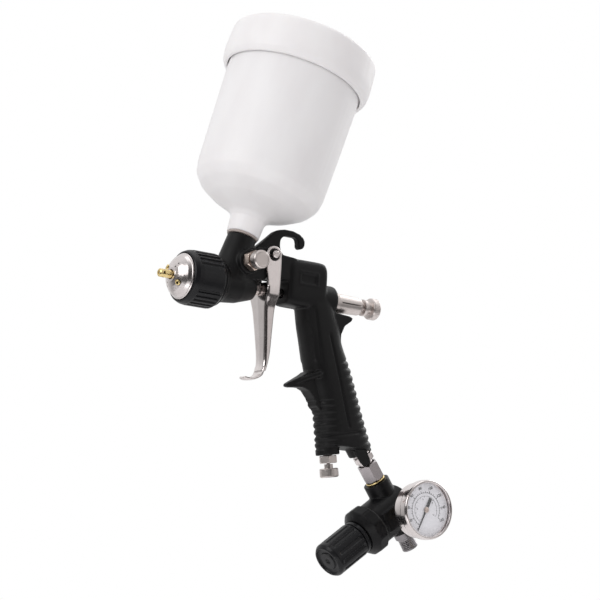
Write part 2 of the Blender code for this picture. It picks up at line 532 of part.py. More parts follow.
# ================================================================ inlet and swivel
inlet = lathe("inlet_fitting", [
    (-66.0, 2.8), (-66.0, 5.6), (-47.8, 5.6), (-47.8, 8.0), (-42.8, 8.0), (-42.8, 4.9), (-35.0, 4.9), (-35.0, 2.8)],
    FLOW_P, FLOW_DIR, 12)
finish(inlet, "nickel")
swivel = lathe("swivel_nut", [
    (-40.0, 6.1), (-40.0, 8.1), (-26.7, 8.1), (-26.7, 4.7), (-30.6, 4.7), (-30.6, 6.1)], FLOW_P, FLOW_DIR, 6)
finish(swivel, "nickel")
seal = lathe("inlet_seal_ring", [(-26.4, 4.1), (-26.4, 7.4), (-25.1, 7.4), (-25.1, 4.1)], FLOW_P, FLOW_DIR, 16)
finish(seal, "brass")
tail = lathe("regulator_tailpiece", [
    (-34.4, 2.2), (-34.4, 4.9), (-31.0, 4.9), (-31.0, 3.7), (-12.0, 3.7), (-12.0, 2.2)], FLOW_P, FLOW_DIR, 14)
finish(tail, "nickel")

# ================================================================ regulator
reg = lathe("regulator_body", [(-11.0, 0.0), (-11.0, 15.0), (-9.8, 16.2), (21.0, 16.2), (21.0, 0.0)],
            REG_P, KNOB_DIR, 28)
combine(reg, [
    rod("u_port_top", -24.8, 0.0, 9.8, FLOW_P, FLOW_DIR, 20),
    rod("u_port_low", 0.0, 17.4, 8.5, FLOW_P, FLOW_DIR, 20),
    rod("u_port_gauge", 0.0, 17.2, 6.2, GAUGE_P, Y_NEG, 16)], "UNION")
combine(reg, [
    lathe("c_reg_bore", [(-12.0, 0.0), (-12.0, 5.2), (0.8, 5.2), (0.8, 2.2), (5.0, 2.2), (5.0, 12.0), (22.0, 12.0),
                         (22.0, 0.0)],
          REG_P, KNOB_DIR, 18),
    rod("c_reg_in", -26.0, -2.0, 4.0, FLOW_P, FLOW_DIR, 14),
    rod("c_reg_out", 2.0, 23.0, 4.9, FLOW_P, FLOW_DIR, 14),
    rod("c_reg_gauge", 2.0, 18.0, 3.6, GAUGE_P, Y_NEG, 14)], "DIFFERENCE")
finish(reg, "black")
plug = lathe("regulator_plug", [(-14.0, 0.0), (-14.0, 7.6), (-13.4, 8.2), (-11.3, 8.2), (-11.3, 4.9), (-9.4, 4.9), (-9.4, 0.0)],
             REG_P, KNOB_DIR, 16)
finish(plug, "nickel")
poppet = lathe("regulator_poppet", [(-6.6, 0.0), (-6.6, 3.4), (0.4, 3.4), (0.4, 1.2), (19.8, 1.2), (19.8, 0.0)],
               REG_P, KNOB_DIR, 12)
finish(poppet, "brass")
diaphragm = lathe("regulator_diaphragm", [(21.3, 0.0), (21.3, 17.2), (22.4, 17.2), (22.4, 0.0)], REG_P, KNOB_DIR, 24)
finish(diaphragm, "rubber")
plate = lathe("diaphragm_plate", [(22.7, 0.0), (22.7, 7.0), (24.2, 7.0), (24.2, 3.4), (27.0, 3.4), (27.0, 0.0)],
              REG_P, KNOB_DIR, 16)
finish(plate, "steel")
reg_spring = spring("regulator_spring", 24.6, 47.6, 5.4, 0.9, 5.0, REG_P, KNOB_DIR, 5, 8)
finish(reg_spring, "steel")
reg_screw = lathe("regulator_screw", [(47.9, 0.0), (47.9, 7.0), (50.8, 7.0), (50.8, 3.0), (62.0, 3.0), (62.0, 0.0)],
                  REG_P, KNOB_DIR, 16)
finish(reg_screw, "steel")
bonnet = lathe("regulator_bonnet", [
    (22.7, BONNET_R - 0.6), (23.4, BONNET_R), (30.4, BONNET_R), (33.2, 15.4), (34.8, 13.2), (34.8, 9.6), (54.0, 9.6),
    (54.0, 3.4), (51.2, 3.4), (51.2, 7.8), (22.7, 7.8)], REG_P, KNOB_DIR, 24)
finish(bonnet, "black")
collar = lathe("regulator_collar", [(35.2, 9.9), (35.2, 12.4), (36.0, 12.9), (38.6, 12.9), (38.6, 9.9)],
               REG_P, KNOB_DIR, 24)
finish(collar, "black")
reg_knob = lathe("regulator_knob", [
    (39.1, 10.2), (39.1, 12.6), (40.2, REG_KNOB_R), (66.8, REG_KNOB_R), (REG_KNOB_END, 11.8), (REG_KNOB_END, 0.0),
    (62.4, 0.0), (62.4, 3.3), (57.0, 3.3), (57.0, 10.2)], REG_P, KNOB_DIR, 24)
finish(reg_knob, "black")
nipple = lathe("hose_nipple", [
    (12.0, 2.6), (12.0, 4.6), (17.7, 4.6), (17.7, 7.0), (22.6, 7.0), (22.6, 6.2), (32.4, 6.1), (32.4, 2.6)],
    FLOW_P, FLOW_DIR, 16)
finish(nipple, "nickel")

# ================================================================ gauge
g_stem = lathe("gauge_stem", [(9.0, 1.0), (9.0, 3.3), (17.5, 3.3), (17.5, 5.4), (22.5, 5.4), (22.5, 3.3), (29.2, 3.3), (29.2, 1.0)],
               GAUGE_P, Y_NEG, 12)
finish(g_stem, "brass")
case = lathe("gauge_case", [
    (27.4, 3.7), (27.4, 17.6), (28.2, 19.2), (29.6, 20.0), (39.8, 20.1), (39.8, 18.8), (29.8, 18.8), (28.8, 17.8), (28.8, 3.7)],
    GAUGE_P, Y_NEG, 28)
finish(case, "chrome")
bezel = lathe("gauge_bezel", [
    (38.1, 20.4), (38.1, 21.3), (39.1, GAUGE_R), (43.7, GAUGE_R - 0.1), (44.9, 20.9), (GAUGE_FRONT, 20.2), (44.8, 19.5),
    (43.9, 19.2), (43.8, 20.4)], GAUGE_P, Y_NEG, 28)
finish(bezel, "chrome")
lens = lathe("gauge_lens", [(42.4, 0.0), (42.4, 20.0), (43.5, 20.0), (43.5, 0.0)], GAUGE_P, Y_NEG, 28)
finish(lens, "glass")
dial = lathe("gauge_dial", [(40.1, 1.6), (40.1, 19.9), (40.7, 19.9), (40.7, 1.6)], GAUGE_P, Y_NEG, 28)
finish(dial, "dial")
spindle = lathe("gauge_spindle", [(29.8, 0.0), (29.8, 1.1), (40.7, 1.1), (40.7, 0.0)], GAUGE_P, Y_NEG, 10)
finish(spindle, "brass")
POINT_ANGLE = math.radians(-112.0)      # rest direction of the pointer in the dial plane, from +X
bm = bmesh.new()
outline = [(16.2, 0.0), (2.2, 0.9), (0.0, 2.2), (-2.2, 1.3), (-8.6, 1.5), (-9.2, 0.0), (-8.6, -1.5), (-2.2, -1.3),
           (0.0, -2.2), (2.2, -0.9)]
ca, sa = math.cos(POINT_ANGLE), math.sin(POINT_ANGLE)
low = [bm.verts.new((x * ca - z * sa, -41.0, x * sa + z * ca)) for x, z in outline]
top = [bm.verts.new((x * ca - z * sa, -41.6, x * sa + z * ca)) for x, z in outline]
bm.faces.new(low)
bm.faces.new(list(reversed(top)))
for i in range(len(outline)):
    j = (i + 1) % len(outline)
    bm.faces.new((low[j], low[i], top[i], top[j]))
pointer = to_object("gauge_pointer", bm, GAUGE_P)
combine(pointer, [rod("u_hub", 41.0, 42.1, 2.3, GAUGE_P, Y_NEG, 14)], "UNION")
finish(pointer, "rubber")

bm = bmesh.new()
loops = []
for k in range(17):
    a = math.radians(-60.0 + 250.0 * k / 16.0)
    centre = Vector((13.6 * math.cos(a), 13.6 * math.sin(a), 32.0))
    out = Vector((math.cos(a), math.sin(a), 0.0))
    loops.append([bm.verts.new(centre + out * 0.9 * math.cos(b) + Vector((0, 0, 1)) * 2.2 * math.sin(b))
                  for b in (2.0 * math.pi * i / 8 for i in range(8))])
for a, b in zip(loops[:-1], loops[1:]):
    for i in range(8):
        j = (i + 1) % 8
        bm.faces.new((a[i], a[j], b[j], b[i]))
bm.faces.new(list(reversed(loops[0])))
bm.faces.new(loops[-1])
bourdon = to_object("bourdon_tube", bm, GAUGE_P, axis_matrix(Y_NEG))
finish(bourdon, "brass")
movement = lathe("gauge_movement", [(29.5, 1.5), (29.5, 5.4), (39.7, 5.4), (39.7, 1.5)], GAUGE_P, Y_NEG, 14)
finish(movement, "brass")
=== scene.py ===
import json
import math

import bpy
import bmesh
import numpy as np
from mathutils import Matrix, Vector

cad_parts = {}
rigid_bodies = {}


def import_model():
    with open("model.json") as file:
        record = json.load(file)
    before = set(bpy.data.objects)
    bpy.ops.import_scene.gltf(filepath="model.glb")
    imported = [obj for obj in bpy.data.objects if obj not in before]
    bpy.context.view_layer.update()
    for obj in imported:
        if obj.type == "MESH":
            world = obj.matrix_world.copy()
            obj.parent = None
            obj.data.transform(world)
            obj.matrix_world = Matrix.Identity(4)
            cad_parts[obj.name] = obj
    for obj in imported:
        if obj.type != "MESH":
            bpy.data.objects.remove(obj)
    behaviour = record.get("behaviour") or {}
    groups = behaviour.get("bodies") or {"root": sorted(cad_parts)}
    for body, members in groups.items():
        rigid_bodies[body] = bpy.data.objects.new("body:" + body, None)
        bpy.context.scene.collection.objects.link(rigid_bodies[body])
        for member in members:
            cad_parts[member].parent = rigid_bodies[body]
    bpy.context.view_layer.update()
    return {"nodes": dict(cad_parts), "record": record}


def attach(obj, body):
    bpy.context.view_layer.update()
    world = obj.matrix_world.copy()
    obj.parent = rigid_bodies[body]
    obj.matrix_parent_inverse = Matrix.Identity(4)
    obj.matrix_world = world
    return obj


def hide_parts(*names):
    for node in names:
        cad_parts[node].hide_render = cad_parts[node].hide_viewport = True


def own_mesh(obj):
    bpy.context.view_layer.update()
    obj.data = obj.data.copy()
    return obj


for _ob in list(bpy.data.objects):
    bpy.data.objects.remove(_ob, do_unlink=True)

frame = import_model()
nodes = frame["nodes"]
BODY_OF = {n: b for b, ns in frame["record"]["behaviour"]["bodies"].items() for n in ns}

# Lengths below are millimetres in the gun's own frame: X rearward along the needle, +Z up,
# the fan knob on the -Y side. The world origin is the inside top of the hook.
MM = 0.001
HANG = Vector((87.0, 0.0, 41.7))
O_P = Vector((0.0, 0.0, 0.0))
X_DIR = Vector((1.0, 0.0, 0.0))
Y_NEG = Vector((0.0, -1.0, 0.0))


def tilt(deg, down):
    a = math.radians(deg)
    return Vector((math.sin(a), 0.0, -math.cos(a) if down else math.cos(a)))


CUP_DIR, FLOW_DIR, VALVE_DIR = tilt(16.66, False), tilt(38.0, True), tilt(10.0, True)
KNOB_DIR = Vector((-math.cos(math.radians(38.0)), 0.0, -math.sin(math.radians(38.0))))
CUP_P = Vector((85.97, 0.0, 162.58))
FLOW_P = Vector((194.07, 0.0, -144.7))
REG_P = FLOW_P.copy()
GAUGE_P = FLOW_P + FLOW_DIR
VALVE_P = Vector((134.9, 0.0, -113.8))
FAN_P = Vector((46.1, 0.0, 16.06))
PIVOT_P = Vector((68.5, 0.0, 24.6))


# ================================================================ materials
class Nodes:
    def __init__(self, name):
        self.mat = bpy.data.materials.new(name)
        self.mat.use_nodes = True
        self.tree = self.mat.node_tree
        self.bsdf = self.tree.nodes["Principled BSDF"]
        self.coord = self.tree.nodes.new("ShaderNodeTexCoord").outputs["Object"]

    def new(self, kind, **values):
        node = self.tree.nodes.new(kind)
        for key, value in values.items():
            if hasattr(node, key):
                setattr(node, key, value)
            else:
                node.inputs[key.replace("_", " ")].default_value = value
        return node

    def link(self, a, b):
        self.tree.links.new(a, b)

    def stretched(self, scale):
        m = self.tree.nodes.new("ShaderNodeMapping")
        m.inputs["Scale"].default_value = scale
        self.link(self.coord, m.inputs["Vector"])
        return m.outputs["Vector"]

    def noise(self, size_mm, detail=3.0, rough=0.55, vector=None):
        n = self.new("ShaderNodeTexNoise")
        n.inputs["Scale"].default_value = 1000.0 / size_mm
        n.inputs["Detail"].default_value = detail
        n.inputs["Roughness"].default_value = rough
        self.link(vector or self.coord, n.inputs["Vector"])
        return n.outputs["Fac"]

    def remap(self, value, lo, hi, to_lo, to_hi):
        m = self.new("ShaderNodeMapRange")
        for key, v in (("From Min", lo), ("From Max", hi), ("To Min", to_lo), ("To Max", to_hi)):
            m.inputs[key].default_value = v
        self.link(value, m.inputs["Value"])
        return m.outputs["Result"]

    def mix(self, fac, a, b):
        m = self.tree.nodes.new("ShaderNodeMix")
        m.data_type = "RGBA"
        self.link(fac, m.inputs[0])
        for socket, v in ((m.inputs[6], a), (m.inputs[7], b)):
            if isinstance(v, tuple):
                socket.default_value = (*v, 1.0)
            else:
                self.link(v, socket)
        return m.outputs[2]

    def math(self, op, a, b):
        m = self.new("ShaderNodeMath", operation=op)
        for socket, v in ((m.inputs[0], a), (m.inputs[1], b)):
            if isinstance(v, (int, float)):
                socket.default_value = v
            else:
                self.link(v, socket)
        return m.outputs[0]

    def bump(self, height, depth_mm, strength=1.0, below=None):
        b = self.new("ShaderNodeBump")
        b.inputs["Distance"].default_value = depth_mm * MM
        b.inputs["Strength"].default_value = strength
        self.link(height, b.inputs["Height"])
        if below is not None:
            self.link(below, b.inputs["Normal"])
        return b.outputs["Normal"]

    def set(self, **values):
        for key, v in values.items():
            self.bsdf.inputs[key.replace("_", " ")].default_value = v


def shade(c, k):
    return tuple(min(1.0, x * k) for x in c)


def plastic(name, colour, rough, grain_mm=0.45, grain_depth=0.03, mottle=0.06, rough_var=0.06, wear=None, specular=0.5):
    """Moulded or cast surface: fine grain, slow mottling, rubbed edges."""
    m = Nodes(name)
    base = m.mix(m.remap(m.noise(14.0), 0.35, 0.65, 0.0, 1.0), shade(colour, 1.0 - mottle), shade(colour, 1.0 + mottle))
    if wear is not None:
        point = m.new("ShaderNodeNewGeometry").outputs["Pointiness"]
        edge = m.remap(point, 0.515, 0.575, 0.0, 1.0)
        rubbed = m.math("MULTIPLY", edge, m.remap(m.noise(2.2, 4.0), 0.40, 0.62, 0.0, 1.0))
        base = m.mix(rubbed, base, wear)
    m.link(base, m.bsdf.inputs["Base Color"])
    m.link(m.remap(m.noise(5.0, 4.0), 0.3, 0.7, rough - rough_var, rough + rough_var), m.bsdf.inputs["Roughness"])
    low = m.bump(m.noise(6.0, 2.0), 0.05, 0.5)
    m.link(m.bump(m.noise(grain_mm, 3.0, 0.6), grain_depth, 0.6, low), m.bsdf.inputs["Normal"])
    m.set(Metallic=0.0, Specular_IOR_Level=specular)
    return m.mat


def turned(name, colour, rough, tint, line_mm=0.22, depth=0.0022, rough_var=0.04, tarnish=0.22, rings_on=True):
    """Lathe-turned and plated: rings across the axis, slow tint, small handling marks."""
    m = Nodes(name)
    stain = m.remap(m.noise(5.5, 4.0), 0.45, 0.72, 0.0, tarnish)
    m.link(m.mix(stain, colour, tint), m.bsdf.inputs["Base Color"])
    marks = m.noise(2.4, 5.0, 0.65, m.stretched((1.0, 1.0, 4.0)))
    m.link(m.remap(marks, 0.3, 0.72, rough - rough_var, rough + rough_var), m.bsdf.inputs["Roughness"])
    rings = m.new("ShaderNodeTexWave", wave_type="BANDS", bands_direction="Z", wave_profile="SIN")
    rings.inputs["Scale"].default_value = 1000.0 / (line_mm * 20.0) * 3.0
    rings.inputs["Distortion"].default_value = 1.2
    rings.inputs["Detail"].default_value = 2.0
    m.link(m.coord, rings.inputs["Vector"])
    low = m.bump(m.noise(7.0, 2.0), 0.012, 0.15)
    if rings_on:
        low = m.bump(rings.outputs["Fac"], depth, 0.25, low)
    m.link(low, m.bsdf.inputs["Normal"])
    m.set(Metallic=1.0)
    return m.mat


def polished(name, colour, rough, tint):
    """Pressed sheet or spun cup with bright plate: soft dents and fine rubbing scratches."""
    m = Nodes(name)
    m.link(m.mix(m.remap(m.noise(9.0, 4.0), 0.42, 0.70, 0.0, 0.45), colour, tint), m.bsdf.inputs["Base Color"])
    scratch = m.noise(0.9, 6.0, 0.7, m.stretched((1.0, 1.0, 0.12)))
    m.link(m.remap(scratch, 0.35, 0.75, rough * 0.7, rough * 1.9), m.bsdf.inputs["Roughness"])
    low = m.bump(m.noise(22.0, 2.0), 0.05, 0.2)
    m.link(m.bump(scratch, 0.0012, 0.2, low), m.bsdf.inputs["Normal"])
    m.set(Metallic=1.0)
    return m.mat


def nylon(name, colour, shade_to, sss=0.25):
    """Translucent blow-moulded nylon: light goes a little way in, with faint flow bands."""
    m = Nodes(name)
    flow = m.noise(26.0, 3.0, 0.5, m.stretched((1.0, 1.0, 0.35)))
    m.link(m.mix(m.remap(flow, 0.36, 0.66, 0.0, 1.0), colour, shade_to), m.bsdf.inputs["Base Color"])
    m.link(m.remap(m.noise(7.0, 4.0), 0.3, 0.7, 0.36, 0.50), m.bsdf.inputs["Roughness"])
    low = m.bump(m.noise(18.0, 2.0), 0.12, 0.4)
    m.link(m.bump(m.noise(0.8, 3.0, 0.6), 0.02, 0.5, low), m.bsdf.inputs["Normal"])
    m.set(Subsurface_Weight=sss, Subsurface_Radius=(1.0, 0.95, 0.88), Subsurface_Scale=0.006, Specular_IOR_Level=0.4)
    return m.mat


def window(name):
    m = Nodes(name)
    m.link(m.remap(m.noise(3.0, 5.0), 0.35, 0.75, 0.015, 0.06), m.bsdf.inputs["Roughness"])
    m.link(m.bump(m.noise(14.0, 2.0), 0.01, 0.2), m.bsdf.inputs["Normal"])
    m.set(Base_Color=(0.96, 0.97, 0.98, 1.0), Alpha=0.06, IOR=1.46)
    return m.mat


M = {
    "white_nylon": nylon("white_nylon_moulded", (0.925, 0.912, 0.912), (0.885, 0.866, 0.868)),
    "black_composite": plastic("black_composite_moulded", (0.0068, 0.0068, 0.0072), 0.46, wear=(0.020, 0.020, 0.021), specular=0.24),
    "black_cast_metal": plastic("black_painted_casting", (0.0052, 0.0052, 0.0058), 0.38, 0.7, 0.04, 0.08, 0.07,
                                wear=(0.022, 0.022, 0.025), specular=0.20),
    "black_knob": plastic("black_moulded_knob", (0.0072, 0.0074, 0.0088), 0.33, 0.35, 0.015, 0.05, 0.06,
                          wear=(0.024, 0.024, 0.028), specular=0.30),
    "nickel_plate": turned("satin_nickel", (0.74, 0.68, 0.655), 0.36, (0.60, 0.54, 0.515)),
    "nickel_bright": turned("bright_nickel", (0.76, 0.71, 0.70), 0.25, (0.58, 0.53, 0.52), 0.3, 0.0015),
    # Painted shade: nickel darkened to 0.30 to stand for the shadow that the nipple's threaded barrel sits in.
    "nickel_thread_painted_shade": turned("threaded_nickel_painted_shade", (0.30, 0.285, 0.295), 0.24, (0.22, 0.21, 0.22), rings_on=False),
    "nickel_dark": turned("dark_nickel", (0.47, 0.435, 0.445), 0.24, (0.36, 0.33, 0.34)),
    "nickel_warm": turned("warm_nickel", (0.72, 0.60, 0.53), 0.30, (0.56, 0.43, 0.36)),
    "chrome_plate": polished("bright_chrome", (0.83, 0.775, 0.765), 0.13, (0.68, 0.62, 0.61)),
    "bare_brass": turned("turned_brass", (0.93, 0.74, 0.36), 0.20, (0.70, 0.50, 0.22)),
    "steel": turned("ground_steel", (0.66, 0.66, 0.67), 0.24, (0.45, 0.44, 0.43), 0.3),
    "seal_white": plastic("white_seal", (0.80, 0.78, 0.72), 0.50, 0.5, 0.02, 0.05),
    "seal_tan": plastic("neck_seal", (0.46, 0.40, 0.37), 0.50, 0.5, 0.02, 0.08),
    "seal_rubber": plastic("black_seal", (0.022, 0.022, 0.022), 0.70, 0.4, 0.03, 0.10),
    "clear_lens": window("clear_window"),
    "dial_face": plastic("enamelled_dial", (0.93, 0.93, 0.97), 0.45, 0.5, 0.004, 0.02, 0.05),
    "pointer_black": plastic("matt_black_print", (0.018, 0.018, 0.020), 0.55, 0.3, 0.006, 0.10),
    "hub_copper": turned("copper_hub", (0.88, 0.72, 0.64), 0.32, (0.66, 0.50, 0.43)),
}


# ================================================================ shapes
def axis_matrix(direction):
    z = direction.normalized()
    side = Vector((0.0, 1.0, 0.0))
    if abs(z.dot(side)) > 0.9:
        side = Vector((1.0, 0.0, 0.0))
    x = side.cross(z).normalized()
    return Matrix((x, z.cross(x).normalized(), z)).transposed()


def to_object(name, bm, point, rot=None, sharp=32.0):
    bmesh.ops.remove_doubles(bm, verts=bm.verts, dist=1e-5)
    bmesh.ops.recalc_face_normals(bm, faces=bm.faces)
    if bm.calc_volume(signed=True) < 0.0:
        bmesh.ops.reverse_faces(bm, faces=bm.faces)
    bmesh.ops.scale(bm, vec=(MM, MM, MM), verts=bm.verts)
    me = bpy.data.meshes.new(name)
    bm.to_mesh(me)
    bm.free()
    ob = bpy.data.objects.new(name, me)
    bpy.context.scene.collection.objects.link(ob)
    ob.location = (point - HANG) * MM
    if rot is not None:
        ob.rotation_euler = rot.to_euler()
    me.shade_smooth()
    me.set_sharp_from_angle(angle=math.radians(sharp))
    return ob


def rounded(profile, radius, steps=4):
    """Each corner of a (t, r) profile becomes a small arc. A third value is that corner's own radius."""
    closed = profile[0][1] > 1e-6 and profile[-1][1] > 1e-6
    n = len(profile)
    out = []
    for i, item in enumerate(profile):
        p = Vector(item[:2])
        rad = item[2] if len(item) > 2 else radius
        if (not closed and i in (0, n - 1)) or rad <= 0.0:
            out.append((p.x, p.y))
            continue
        a, b = Vector(profile[i - 1][:2]), Vector(profile[(i + 1) % n][:2])
        da, db = a - p, b - p
        if da.length < 1e-6 or db.length < 1e-6:
            out.append((p.x, p.y))
            continue
        turn = math.pi - da.angle(db)
        cut = min(rad * math.tan(min(turn, 2.6) / 2.0), 0.46 * da.length, 0.46 * db.length)
        if cut < 0.01:
            out.append((p.x, p.y))
            continue
        s, e = p + da.normalized() * cut, p + db.normalized() * cut
        for k in range(steps + 1):
            u = k / steps
            q = s * (1 - u) ** 2 + p * 2 * u * (1 - u) + e * u * u
            out.append((q.x, q.y))
    return out


def denser(profile, step, t0=-1e9, t1=1e9):
    closed = profile[0][1] > 1e-6 and profile[-1][1] > 1e-6
    out = []
    pairs = list(zip(profile[:-1], profile[1:]))
    if closed:
        pairs.append((profile[-1], profile[0]))
    for a, b in pairs:
        out.append(a)
        if max(a[0], b[0]) < t0 or min(a[0], b[0]) > t1:
            continue
        n = int(math.hypot(b[0] - a[0], b[1] - a[1]) / step)
        for k in range(1, n):
            u = k / n
            out.append((a[0] + (b[0] - a[0]) * u, a[1] + (b[1] - a[1]) * u))
    if not closed:
        out.append(profile[-1])
    return out


def lathe_mesh(profile, seg, wave=None):
    bm = bmesh.new()
    loops = []
    for t, r in profile:
        if r <= 1e-6:
            loops.append([bm.verts.new((0.0, 0.0, t))])
            continue
        loop = []
        for i in range(seg):
            a = 2.0 * math.pi * i / seg
            rr = r if wave is None else wave(t, a, r)
            loop.append(bm.verts.new((rr * math.cos(a), rr * math.sin(a), t)))
        loops.append(loop)
    pairs = list(zip(loops[:-1], loops[1:]))
    if len(loops[0]) > 1 and len(loops[-1]) > 1:
        pairs.append((loops[-1], loops[0]))
    for a, b in pairs:
        if len(a) == 1 and len(b) == 1:
            continue
        for i in range(seg):
            j = (i + 1) % seg
            if len(a) == 1:
                bm.faces.new((a[0], b[j], b[i]))
            elif len(b) == 1:
                bm.faces.new((a[i], a[j], b[0]))
            else:
                bm.faces.new((a[i], a[j], b[j], b[i]))
    return bm


def lathe(name, profile, point, direction, seg=96, soft=0.3, wave=None, step=None, span=(-1e9, 1e9), sharp=32.0):
    p = rounded(profile, soft) if soft > 0 else [(q[0], q[1]) for q in profile]
    if step:
        p = denser(p, step, *span)
    return to_object(name, lathe_mesh(p, seg, wave), point, axis_matrix(direction), sharp)


def rod(name, t0, t1, r, point, direction, seg=32):
    return lathe(name, [(t0, 0.0), (t0, r), (t1, r), (t1, 0.0)], point, direction, seg, 0.0)


def hexagon(apothem, phase=0.0, inner=None):
    """Wave that trims a turned profile to six flats with chamfered corners."""
    limit = apothem * 0.97 if inner is None else inner

    def wave(t, a, r):
        if r < limit:
            return r
        return min(r, apothem / math.cos((a - phase) % (math.pi / 3.0) - math.pi / 6.0))
    return wave


def knurl(teeth, depth, t0, t1, r_min):
    def wave(t, a, r):
        if r < r_min or t < t0 or t > t1:
            return r
        return r - depth * (0.5 - 0.5 * math.cos(teeth * a))
    return wave


def prism(name, outline, y0, y1):
    bm = bmesh.new()
    near = [bm.verts.new((x, y0, z)) for x, z in outline]
    far = [bm.verts.new((x, y1, z)) for x, z in outline]
    bm.faces.new(near)
    bm.faces.new(list(reversed(far)))
    n = len(outline)
    for i in range(n):
        j = (i + 1) % n
        bm.faces.new((near[j], near[i], far[i], far[j]))
    return to_object(name, bm, O_P)


def curve_points(points, per=5):
    """Closed Catmull-Rom curve through the outline's points."""
    n = len(points)
    out = []
    for i in range(n):
        p0, p1, p2, p3 = (Vector(points[(i + k - 1) % n]) for k in range(4))
        for k in range(per):
            u = k / per
            q = 0.5 * ((2 * p1) + (p2 - p0) * u + (2 * p0 - 5 * p1 + 4 * p2 - p3) * u * u
                       + (3 * p1 - p0 - 3 * p2 + p3) * u ** 3)
            out.append(tuple(q))
    return out


def table_curve(rows, per=6):
    """Rows of numbers, smoothed down the table with monotone-ish Hermite steps."""
    a = np.array(rows, float)
    out = []
    for i in range(len(a) - 1):
        p0, p1, p2, p3 = a[max(i - 1, 0)], a[i], a[i + 1], a[min(i + 2, len(a) - 1)]
        for k in range(per):
            u = k / per
            out.append(tuple(0.5 * ((2 * p1) + (p2 - p0) * u + (2 * p0 - 5 * p1 + 4 * p2 - p3) * u * u
                                    + (3 * p1 - p0 - 3 * p2 + p3) * u ** 3)))
    out.append(tuple(a[-1]))
    return out


def oval(cx, cy, hx, hy, power, count):
    pts = []
    for i in range(count):
        a = 2.0 * math.pi * i / count
        c, s = math.cos(a), math.sin(a)
        pts.append((cx + hx * math.copysign(abs(c) ** (2.0 / power), c),
                    cy + hy * math.copysign(abs(s) ** (2.0 / power), s)))
    return pts


def loft(name, rings):
    bm = bmesh.new()
    loops = [[bm.verts.new(Vector(p)) for p in ring] for ring in rings]
    n = len(loops[0])
    for a, b in zip(loops[:-1], loops[1:]):
        for i in range(n):
            j = (i + 1) % n
            bm.faces.new((a[i], a[j], b[j], b[i]))
    bm.faces.new(list(reversed(loops[0])))
    bm.faces.new(loops[-1])
    return to_object(name, bm, O_P)


def baked(ob):
    """The object's mesh with its modifiers applied."""
    bpy.context.view_layer.update()
    me = bpy.data.meshes.new_from_object(ob.evaluated_get(bpy.context.evaluated_depsgraph_get()))
    ob.modifiers.clear()
    old, ob.data = ob.data, me
    me.name = old.name
    bpy.data.meshes.remove(old)
    return ob


def combine(target, tools, operation, sharp=32.0):
    group = bpy.data.collections.new("tools")
    bpy.context.scene.collection.children.link(group)
    for tool in tools:
        group.objects.link(tool)
    mod = target.modifiers.new("cut", "BOOLEAN")
    mod.operation, mod.solver, mod.operand_type, mod.collection = operation, "EXACT", "COLLECTION", group
    baked(target)
    for tool in tools:
        bpy.data.objects.remove(tool, do_unlink=True)
    bpy.data.collections.remove(group)
    bm = bmesh.new()
    bm.from_mesh(target.data)
    bmesh.ops.remove_doubles(bm, verts=bm.verts, dist=1e-6)
    bmesh.ops.dissolve_degenerate(bm, edges=bm.edges, dist=5e-7)
    bm.to_mesh(target.data)
    bm.free()
    target.data.shade_smooth()
    target.data.set_sharp_from_angle(angle=math.radians(sharp))
    return target


def straighten(ob):
    """The mesh takes over the object's tilt, so that its box is the piece's own."""
    bpy.context.view_layer.update()
    ob.data.transform(ob.matrix_world)
    ob.matrix_world = Matrix.Identity(4)
    return ob


def melt(ob, voxel_mm, passes):
    """Moulded fillets: the solid is rebuilt on a fine grid and relaxed."""
    mod = ob.modifiers.new("grid", "REMESH")
    mod.mode, mod.voxel_size, mod.use_smooth_shade = "VOXEL", voxel_mm * MM, True
    mod = ob.modifiers.new("relax", "SMOOTH")
    mod.factor, mod.iterations = 0.5, passes
    baked(ob)
    ob.data.shade_smooth()
    return ob


def cast(ob, material, node=None, body=None, hides=True):
    """Gives a piece its material and its body, and hides the CAD node that it stands for."""
    ob.data.materials.clear()
    ob.data.materials.append(M[material])
    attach(ob, body or BODY_OF[node])
    if hides and node:
        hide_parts(node)
    return ob


# ================================================================ paint cup
def parting(height, width, angles):
    def wave(t, a, r):
        k = 0.0
        for c in angles:
            d = math.atan2(math.sin(a - c), math.cos(a - c)) * r
            k = max(k, math.exp(-(d / width) ** 2))
        return r + height * k
    return wave


SEAM = (math.radians(-62.0), math.radians(118.0))
cup = lathe("cup_moulding", [
    (15.5, 49.45, 0.6), (-20.0, 49.1, 60), (-55.0, 48.2, 60), (-88.0, 47.2, 12), (-95.2, 45.9, 9), (-101.6, 41.2, 9),
    (-108.2, 31.2, 14), (-113.0, 20.8, 14), (-116.6, 14.7, 6), (-120.0, 12.7, 3), (-131.6, 11.8, 0.8), (-131.6, 7.2, 0.3),
    (-144.5, 7.2, 0.5), (-144.5, 5.0, 0.3), (-122.3, 5.0, 0.3), (-122.3, 8.2, 0.3), (-116.5, 9.4, 3), (-110.0, 19.4, 10),
    (-104.9, 29.2, 10), (-98.6, 38.9, 8), (-93.2, 43.6, 8), (-87.5, 45.3, 10), (-55.0, 46.2, 60), (-20.0, 47.1, 60),
    (15.5, 47.4, 0.5)], CUP_P, CUP_DIR, 240, 0.5,
    wave=lambda t, a, r: parting(0.16, 0.8, SEAM)(t, a, r) if r > 10.5 and (r > 47.15 or t < -89) else r,
    step=4.0, sharp=50.0)
cast(cup, "white_nylon", "cup")

